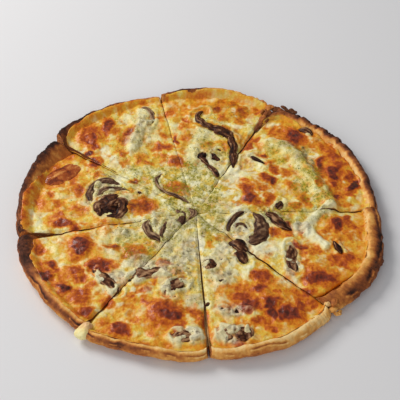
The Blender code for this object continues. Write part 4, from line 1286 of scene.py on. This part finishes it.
def strip_profile(tree, flatness):
    """A flattened circle that knows how far round it each point is."""
    circle = add_node(tree, "GeometryNodeCurvePrimitiveCircle", {"Resolution": 24, "Radius": 1.0})
    turn = add_node(tree, "GeometryNodeSplineParameter").outputs["Factor"]
    squeeze = add_node(tree, "ShaderNodeCombineXYZ", {0: 1.0, 1: flatness, 2: 1.0})
    return add_node(tree, "GeometryNodeTransform", {
        "Geometry": store(tree, circle.outputs["Curve"], "turn", turn),
        "Scale": squeeze.outputs[0]}).outputs[0]


def strip_width(tree, factor):
    """Half the width along a strip, rounded off at both ends."""
    signed = maths(tree, "SUBTRACT", maths(tree, "MULTIPLY", factor, 2.0), 1.0)
    fading = maths(tree, "POWER", maths(tree, "ABSOLUTE", signed), 5.0)
    taper = maths(tree, "SQRT", maths(tree, "SUBTRACT", 1.0, fading))
    half_width = add_node(tree, "GeometryNodeInputRadius").outputs[0]
    return maths(tree, "MULTIPLY", maths(tree, "MAXIMUM", taper, 0.06), half_width)


def fibre_noise(tree, seed):
    """Noise drawn out along a strip, the way its fibres run."""
    angle = maths(tree, "MULTIPLY", stored(tree, "turn"), 2 * math.pi)
    place = add_node(tree, "ShaderNodeCombineXYZ", {
        0: maths(tree, "MULTIPLY", maths(tree, "COSINE", angle), 2.6),
        1: maths(tree, "MULTIPLY", maths(tree, "SINE", angle), 2.6),
        2: maths(tree, "MULTIPLY", stored(tree, "run"), per_metre(9.0))})
    return add_node(tree, "ShaderNodeTexNoise", {
        "Vector": place.outputs[0], "W": seed, "Scale": 1.0, "Detail": 2.0},
        noise_dimensions="4D").outputs["Fac"]


def strip_bumps(tree, inward, fibres):
    """How far each point of a strip is pushed along its normal."""
    lumps = add_node(tree, "ShaderNodeTexNoise", {
        "W": inward.outputs["Seed"], "Scale": per_metre(8.0), "Detail": 1.0}, noise_dimensions="4D")
    depth = maths(tree, "MULTIPLY", inward.outputs["Fibre Depth"], 3.0)
    push = maths(tree, "ADD", unevenness(tree, fibres, depth),
                 unevenness(tree, lumps.outputs["Fac"], inward.outputs["Unevenness"]))
    normal = add_node(tree, "GeometryNodeInputNormal").outputs[0]
    return add_node(tree, "ShaderNodeVectorMath", {0: normal, "Scale": push}, operation="SCALE").outputs[0]


def strip_tree():
    """Geometry nodes that sweep a flattened, fibrous, tapered strip along a curve."""
    kind = "NodeSocketFloat"
    tree, inward, outward = new_group(
        "fibrous strip", "GeometryNodeTree",
        (("Path", "NodeSocketGeometry", None), ("Unevenness", kind, 0.003), ("Flatness", kind, 0.7),
         ("Fibre Depth", kind, 0.0005), ("Seed", kind, 0.0), ("Material", "NodeSocketMaterial", None)),
        (("Strip", "NodeSocketGeometry"),))
    spine = add_node(tree, "GeometryNodeResampleCurve", {
        "Curve": inward.outputs["Path"], "Length": 0.5 * MM}, mode="LENGTH")
    upright = add_node(tree, "GeometryNodeSetCurveNormal", {"Curve": spine.outputs[0]}, mode="Z_UP")
    run = add_node(tree, "GeometryNodeSplineParameter")
    swept = add_node(tree, "GeometryNodeCurveToMesh", {
        "Curve": store(tree, upright.outputs[0], "run", run.outputs["Length"]),
        "Profile Curve": strip_profile(tree, inward.outputs["Flatness"]),
        "Scale": strip_width(tree, run.outputs["Factor"]), "Fill Caps": True})
    fibres = fibre_noise(tree, inward.outputs["Seed"])
    bumpy = add_node(tree, "GeometryNodeSetPosition", {
        "Geometry": swept.outputs[0], "Offset": strip_bumps(tree, inward, fibres)})
    contrast = maths(tree, "MULTIPLY_ADD", fibres, 2.4, -0.72)
    smoothed = add_node(tree, "GeometryNodeSetShadeSmooth", {
        "Geometry": store(tree, bumpy.outputs[0], "fibre", contrast)})
    pass_out(tree, outward, smoothed.outputs[0], inward.outputs["Material"])
    return tree


def run_tree(name, carrier, tree, inputs):
    """Evaluate a geometry node tree on a carrier, and keep the plain mesh it gives."""
    item = make_object(name + "_carrier", carrier)
    modifier = item.modifiers.new("shape", "NODES")
    modifier.node_group = tree
    for socket in tree.interface.items_tree:
        if socket.item_type == "SOCKET" and socket.in_out == "INPUT" and socket.name in inputs:
            modifier[socket.identifier] = inputs[socket.name]
    graph = bpy.context.evaluated_depsgraph_get()
    mesh = bpy.data.meshes.new_from_object(item.evaluated_get(graph))
    mesh.name = name
    bpy.data.objects.remove(item)
    return mesh


def torn_path(path, seed):
    """A strip's path as closer points, wobbling sideways and of uneven width."""
    path = np.array(path, dtype=float)
    ends = np.concatenate([[0.0], np.cumsum(np.linalg.norm(np.diff(path[:, :2], axis=0), axis=1))])
    steps = np.linspace(0.0, ends[-1], max(8, round(ends[-1] / 1.6)))
    x, y, half_width = (np.interp(steps, ends, column) for column in path.T)
    run = steps[:, None] * (1.0, 0.0)
    x = x + 0.4 * half_width * clouds(run, 6.0, seed)
    y = y + 0.4 * half_width * clouds(run, 6.0, seed + 1)
    return np.stack([x, y, half_width * (1 + 0.25 * layered(run, 7.0, seed + 2, 2))], axis=1)


def strip_curve(name, points, lift):
    """A curve through the points of a path, lifted above the cheese."""
    curve = bpy.data.curves.new(name, "CURVE")
    curve.dimensions = "3D"
    curve.resolution_u = 2
    spline = curve.splines.new("NURBS")
    spline.points.add(len(points) - 1)
    spline.use_endpoint_u = True
    spline.order_u = 3
    flat = points[:, :2]
    heights = cheese_level(flat) + ridge_rise(flat) + lift
    for point, (x, y, half_width), height in zip(spline.points, points, heights):
        point.co = (*((np.array((x, y, height)) + MIDDLE) * MM), 1.0)
        point.radius = half_width * MM
    return curve


def make_strip_mesh(name, tree, flatness, path, material, seed, paler=0.0):
    """A strip along a path, with its seam closed and its faces turned outwards."""
    half_width = max(point[2] for point in path)
    curve = strip_curve(name, torn_path(path, seed), half_width * flatness * 0.15)
    mesh = run_tree(name, curve, tree, {
        "Unevenness": 0.5 * half_width * MM, "Flatness": flatness,
        "Fibre Depth": 0.6 * MM, "Seed": seed * 2.7, "Material": material})
    shape = bmesh.new()
    shape.from_mesh(mesh)
    bmesh.ops.remove_doubles(shape, verts=shape.verts, dist=0.01 * MM)
    bmesh.ops.recalc_face_normals(shape, faces=shape.faces)
    shape.to_mesh(mesh)
    shape.free()
    fibre = read_attribute(mesh, "fibre") + np.float32(paler)
    mesh.attributes["fibre"].data.foreach_set("value", fibre)
    return mesh


def ball_points(size, rings, segments):
    """Points of a stretched ball, ring by ring between its poles, on a unit ball and at size."""
    down = np.linspace(POLE_GAP, np.pi - POLE_GAP, rings)[:, None]
    turn = np.linspace(0.0, 2 * np.pi, segments, endpoint=False)[None, :]
    unit = np.stack([np.sin(down) * np.cos(turn), np.sin(down) * np.sin(turn),
                     np.cos(down) + 0 * turn], axis=-1)
    return unit, unit * np.array(size) / 2


def lump_mesh(name, place, size, turn, material, seed, rough=0.26, fibre_length=7.0, detail=(30, 46),
              lift=-0.08, ragged=0.12, paler=0.0):
    """A torn chunk with creases and fibres, lying in the cheese.

    Rough and ragged are shares of its size. Lift is how far its middle lies above the cheese, as a
    share of its thickness. Detail is its number of rings and of points round each.
    """
    unit, points = ball_points(size, *detail)
    shifted = points + np.array((seed * 31.0, seed * 17.0, 0.0))
    fibre = layered(shifted / (fibre_length, 1.8, 1.8), 1.0, seed, 2)
    lumps = layered(shifted, max(size) * 0.45, seed + 3, 2)
    creases = 1 - np.minimum(np.abs(layered(shifted, max(size) * 0.3, seed + 5, 2)) * 4, 1.0)
    push = rough * min(size) * lumps + 0.3 * fibre - 0.1 * min(size) * creases
    points = points + unit * push[..., None]
    flat = points[..., :1] * direction(turn) + points[..., 1:2] * direction(turn + 90.0) + np.array(place)
    flat = wander(flat, max(size) * 0.5, max(size) * ragged, seed + 7)
    height = points[..., 2:] + cheese_level(flat)[..., None] + size[2] * lift
    points = np.concatenate([flat, height], axis=-1).reshape(-1, 3)
    mesh = mesh_from_points(name, points, shell_faces(*detail), [material])
    # The fibre tone is darker in the creases and lighter on the bulges
    set_attribute(mesh, "fibre", np.clip(0.5 + paler + 0.4 * fibre + 0.25 * lumps - 0.35 * creases, 0.0, 1.0))
    return mesh


def join_meshes(name, meshes):
    """Join meshes that share one material list into one."""
    shape = bmesh.new()
    for mesh in meshes:
        shape.from_mesh(mesh)
    joined = bpy.data.meshes.new(name)
    shape.to_mesh(joined)
    shape.free()
    for material in meshes[0].materials:
        joined.materials.append(material)
    return joined


def make_folds(name, tree, folds, material, seed, paler):
    """The strips that lie folded over a lump."""
    return [make_strip_mesh(f"{name}_{index}", tree, flatness, path, material, seed + index, paler)
            for index, (flatness, path) in enumerate(folds)]


def make_beef(tree, material):
    """Every strip and lump of beef. A lump with folds over it lies deeper."""
    for seed, (name, flatness, covered, path) in enumerate(BEEF_STRIPS):
        paler = VEIL_PALENESS * covered
        mesh = make_strip_mesh("roast_" + name, tree, flatness, path, material, seed, paler)
        hand_over(make_object(mesh.name, mesh), "cooked_beef", name)
    for seed, (name, place, size, turn, covered) in enumerate(BEEF_LUMPS):
        paler = VEIL_PALENESS * covered
        folds = make_folds(name + "_fold", tree, BEEF_FOLDS.get(name, ()), material, seed, paler)
        lump = lump_mesh("lump", place, size, turn, material, seed + 20, lift=-0.16 if folds else -0.08,
                         paler=paler)
        mesh = join_meshes("roast_" + name, [lump] + folds)
        hand_over(make_object(mesh.name, mesh), "cooked_beef", name)


def make_beef_scraps(material):
    """The scraps that just break through the cheese, as one piece."""
    scraps = [lump_mesh("scrap", (x, y), (length * 1.3, width * 1.3, 2.4), turn, material, seed + 40,
                        detail=(11, 18), lift=-0.25)
              for seed, (x, y, length, width, turn) in enumerate(BEEF_SCRAPS)]
    hand_over(make_object("beef_scraps", join_meshes("beef_scraps", scraps)), "cooked_beef")


def make_mushrooms(tree, material):
    """Each mushroom slice: a flat body under the cheese and the curled edges that stand out of it."""
    for seed, (name, place, size, turn, covered, curls) in enumerate(MUSHROOMS):
        body = lump_mesh(name + "_body", place, size, turn, material, seed + 60, rough=0.1, fibre_length=4.0)
        body.transform(Matrix.Translation((0.0, 0.0, -size[2] * 0.55 * MM)))
        edges = make_folds(name + "_edge", tree, curls, material, seed, 0.4 * covered)
        mesh = join_meshes("baked_" + name, [body] + edges)
        hand_over(make_object(mesh.name, mesh), "cooked_mushroom", name)


def make_tomato(speckle):
    """The one slice of tomato, with a smooth, even outline."""
    name, place, size, turn = TOMATO
    material = fibre_material("baked_tomato_flesh", TOMATO_COLOURS, speckle, 0.3)
    mesh = lump_mesh("baked_" + name, place, size, turn, material, 90, rough=0.1, fibre_length=14.0,
                     lift=-0.1, ragged=0.04)
    hand_over(make_object(mesh.name, mesh), "baked_tomato", name)


def make_torn_crust(material):
    """Torn bits of crust at the rim, where the slices pulled apart."""
    bits = []
    for seed, (x, y, height, length, width, turn, toast) in enumerate(TORN_CRUST):
        bit = lump_mesh("torn_bit", (x, y), (length, width, 3.0), turn, material, seed + 70, rough=0.4,
                        detail=(14, 24))
        bit.transform(Matrix.Translation((0.0, 0.0, (height - cheese_level(np.array((x, y)))) * MM)))
        # The bits are toasted darker in their creases and paler on their bulges
        set_attribute(bit, "toast", np.clip(toast + 0.3 * (0.5 - read_attribute(bit, "fibre")), 0.0, 1.0))
        set_attribute(bit, "oil", np.full(len(bit.vertices), 0.12))
        bits.append(bit)
    hand_over(make_object("torn_crust", join_meshes("torn_crust", bits)), "baked_crust")


def make_drip(material):
    """The tongue of cheese that hangs over the rim, broader and lower at its outer end."""
    south = next(piece for piece in SLICES if piece.name == "south")
    rim = rim_at(south, np.array([south.start]))
    unit, points = ball_points(DRIP_SIZE, DRIP_RINGS, DRIP_SEGMENTS)
    points = points + unit * (2.2 * layered(points, 6.5, 95, 2))[..., None]
    outward = rise(-0.4, 1.0, unit[..., 0])
    points[..., 1] *= 0.6 + 0.5 * outward
    heading, across = direction(DRIP_ANGLE), direction(DRIP_ANGLE + 90.0)
    flat = (points[..., :1] + rim.reach[0] - DRIP_INSET) * heading + points[..., 1:2] * across
    height = points[..., 2:] + rim.height[0] - DRIP_DEPTH - DRIP_DROOP * outward[..., None]
    shell = np.concatenate([flat, height], axis=-1).reshape(-1, 3)
    mesh = mesh_from_points("cream_drip", shell, shell_faces(DRIP_RINGS, DRIP_SEGMENTS), [material])
    set_attribute(mesh, "browned", 0.1 + 0.3 * (1 - outward) + 0.12 * layered(points, 4.0, 96, 2))
    for label, value in (("cream", 0.4), ("meat", 0.0), ("herbs", 0.0)):
        set_attribute(mesh, label, np.full(len(mesh.vertices), value))
    hand_over(make_object(mesh.name, mesh), "cream_cheese", "cheese_drip")


def flake_turns(tree, rotation, tilt):
    """Each flake's turn: laid on the surface, then tilted a little and spun."""
    back = maths(tree, "MULTIPLY", tilt, -1.0)
    low = add_node(tree, "ShaderNodeCombineXYZ", {0: back, 1: back, 2: -math.pi})
    high = add_node(tree, "ShaderNodeCombineXYZ", {0: tilt, 1: tilt, 2: math.pi})
    spin = add_node(tree, "FunctionNodeRandomValue", {0: low.outputs[0], 1: high.outputs[0], "Seed": 5},
                    data_type="FLOAT_VECTOR")
    spin_turn = add_node(tree, "FunctionNodeEulerToRotation", {0: spin.outputs[0]})
    return add_node(tree, "FunctionNodeRotateRotation", {
        "Rotation": rotation, "Rotate By": spin_turn.outputs[0]}, rotation_space="LOCAL").outputs[0]


def scatter_tree():
    """Geometry nodes that strew flakes over surfaces, as thickly as an attribute there says."""
    kind = "NodeSocketFloat"
    tree, inward, outward = new_group(
        "strewn flakes", "GeometryNodeTree",
        (("Carrier", "NodeSocketGeometry", None), ("Surfaces", "NodeSocketCollection", None),
         ("Thickness Map", "NodeSocketString", ""), ("Per Square Metre", kind, 1000.0),
         ("Smallest", kind, 0.0003), ("Largest", kind, 0.0006), ("Flake Shape", "NodeSocketVector", None),
         ("Tilt", kind, 0.5), ("Seed", "NodeSocketInt", 1), ("Material", "NodeSocketMaterial", None)),
        (("Flakes", "NodeSocketGeometry"),))
    seed = inward.outputs["Seed"]
    surfaces = add_node(tree, "GeometryNodeCollectionInfo", {"Collection": inward.outputs["Surfaces"]})
    real = add_node(tree, "GeometryNodeRealizeInstances", {"Geometry": surfaces.outputs[0]})
    density = maths(tree, "MULTIPLY", stored(tree, inward.outputs["Thickness Map"]),
                    inward.outputs["Per Square Metre"])
    strewn = add_node(tree, "GeometryNodeDistributePointsOnFaces", {
        "Mesh": real.outputs[0], "Density": density, "Seed": seed})
    lump = add_node(tree, "GeometryNodeMeshIcoSphere", {"Radius": 1.0, "Subdivisions": 1})
    flake = add_node(tree, "GeometryNodeTransform", {
        "Geometry": lump.outputs[0], "Scale": inward.outputs["Flake Shape"]})
    size = add_node(tree, "FunctionNodeRandomValue", {
        2: inward.outputs["Smallest"], 3: inward.outputs["Largest"], "Seed": seed})
    laid = add_node(tree, "GeometryNodeInstanceOnPoints", {
        "Points": strewn.outputs["Points"], "Instance": flake.outputs[0],
        "Rotation": flake_turns(tree, strewn.outputs["Rotation"], inward.outputs["Tilt"]),
        "Scale": size.outputs[1]})
    pass_out(tree, outward, laid.outputs[0], inward.outputs["Material"])
    return tree


def collect(name, items):
    """A collection of pieces, for flakes to be strewn over."""
    group = bpy.data.collections.new(name)
    bpy.context.scene.collection.children.link(group)
    for item in items:
        group.objects.link(item)
    return group


def strew(name, tree, surfaces, slot, **inputs):
    """Make one kind of flake, strewn over a collection."""
    labels = {key.replace("_", " ").title(): value for key, value in inputs.items()}
    mesh = run_tree(name, bpy.data.meshes.new(name), tree, {"Surfaces": surfaces, **labels})
    passed_on = [layer.name for layer in mesh.attributes
                 if not layer.is_required and layer.name != "sharp_face"]
    for layer_name in passed_on:
        mesh.attributes.remove(mesh.attributes[layer_name])
    mesh.materials.clear()
    mesh.materials.append(inputs["material"])
    hand_over(make_object(name, mesh), slot)


def make_strewn(tree, cheeses, crusts, speckle):
    """Dried herbs and pepper on the cheese, and charred flakes along the crests."""
    herb = plain_material("dried_herb", HERB_COLOUR, speckle, 0.8)
    pepper = plain_material("cracked_pepper", PEPPER_COLOUR, speckle, 0.6)
    char = plain_material("charred_flake", CHAR_COLOUR, speckle, 0.9)
    strew("herb_flakes", tree, cheeses, "melted_cheese", thickness_map="herbs", per_square_metre=260000.0,
          smallest=0.25 * MM, largest=0.6 * MM, flake_shape=(1.0, 0.6, 0.3), tilt=0.5, seed=3, material=herb)
    strew("pepper_specks", tree, cheeses, "melted_cheese", thickness_map="meat", per_square_metre=26000.0,
          smallest=0.2 * MM, largest=0.5 * MM, flake_shape=(1.0, 0.8, 0.6), tilt=1.0, seed=7,
          material=pepper)
    strew("charred_flakes", tree, crusts, "baked_crust", thickness_map="flaking",
          per_square_metre=300000.0, smallest=0.3 * MM, largest=0.9 * MM, flake_shape=(1.0, 0.7, 0.14),
          tilt=0.9, seed=11, material=char)


def make_floor():
    """The plain pale floor."""
    mesh = bpy.data.meshes.new("pale_table")
    corners = ((-1, -1), (1, -1), (1, 1), (-1, 1))
    mesh.from_pydata([(x * FLOOR_HALF, y * FLOOR_HALF, FLOOR_LEVEL) for x, y in corners], [], [(0, 1, 2, 3)])
    material, _, shader = new_material("pale_floor", roughness=0.9)
    shader.inputs["Base Color"].default_value = srgb(FLOOR_COLOUR)
    mesh.materials.append(material)
    make_object("pale_table", mesh)


def make_lights():
    """Broad daylight from the back left, and a pale room."""
    world = bpy.data.worlds.new("pale_room")
    world.use_nodes = True
    background = world.node_tree.nodes["Background"]
    background.inputs["Color"].default_value = ROOM_LIGHT
    background.inputs["Strength"].default_value = ROOM_STRENGTH
    bpy.context.scene.world = world
    for name, place, size, energy, colour in LIGHTS:
        light = bpy.data.lights.new(name, "AREA")
        light.shape = "RECTANGLE"
        light.size, light.size_y = size
        light.energy = energy
        light.color = colour
        move = Matrix.Translation(place)
        aim = (-move.to_translation()).to_track_quat("-Z", "Y").to_matrix().to_4x4()
        make_object(name, light).matrix_world = move @ aim


def make_camera():
    """The photograph's own view, a little above 45 degrees."""
    tilt = math.radians(CAMERA_ELEVATION)
    camera = bpy.data.cameras.new("view")
    camera.lens = CAMERA_LENS
    camera.clip_start, camera.clip_end = 0.01, 20.0
    item = make_object("view", camera)
    back = Matrix.Rotation(math.radians(90.0 - CAMERA_ELEVATION), 4, "X")
    roll = Matrix.Rotation(math.radians(CAMERA_ROLL), 4, "Z")
    place = (CAMERA_AIM[0], CAMERA_AIM[1] - CAMERA_DISTANCE * math.cos(tilt),
             CAMERA_AIM[2] + CAMERA_DISTANCE * math.sin(tilt))
    item.matrix_world = Matrix.Translation(place) @ back @ roll
    bpy.context.scene.camera = item


def build_looks():
    """Make the shared groups and materials, then every piece."""
    speckle = speckle_group()
    toasting = toasting_group()
    browned = browning_group()
    dough = dough_material("toasted_dough", toasting, speckle)
    crumb = crumb_material(toasting, speckle)
    cheese = cheese_material("browned_cheese", browned, speckle)
    beef = fibre_material("roast_beef", BEEF_COLOURS, speckle, 0.05)
    mushroom = fibre_material("baked_mushroom", MUSHROOM_COLOURS, speckle, 0.04)
    crusts = collect("crusts", [make_crust(piece, dough, crumb) for piece in SLICES])
    # The cheese's cut faces get a dark brown, painted shade for the depths of the cuts
    cut_cheese = plain_material("cut_cheese", CUT_SHADE_COLOUR, speckle, 0.6)
    cheeses = collect("cheeses", [make_cheese(piece, [cheese, cut_cheese]) for piece in SLICES])
    strips = strip_tree()
    make_beef(strips, beef)
    make_beef_scraps(beef)
    make_mushrooms(strips, mushroom)
    make_tomato(speckle)
    make_torn_crust(dough)
    make_drip(cheese)
    make_strewn(scatter_tree(), cheeses, crusts, speckle)
    make_floor()


build_looks()
make_lights()
make_camera()
bpy.context.scene.view_settings.view_transform = "Standard"
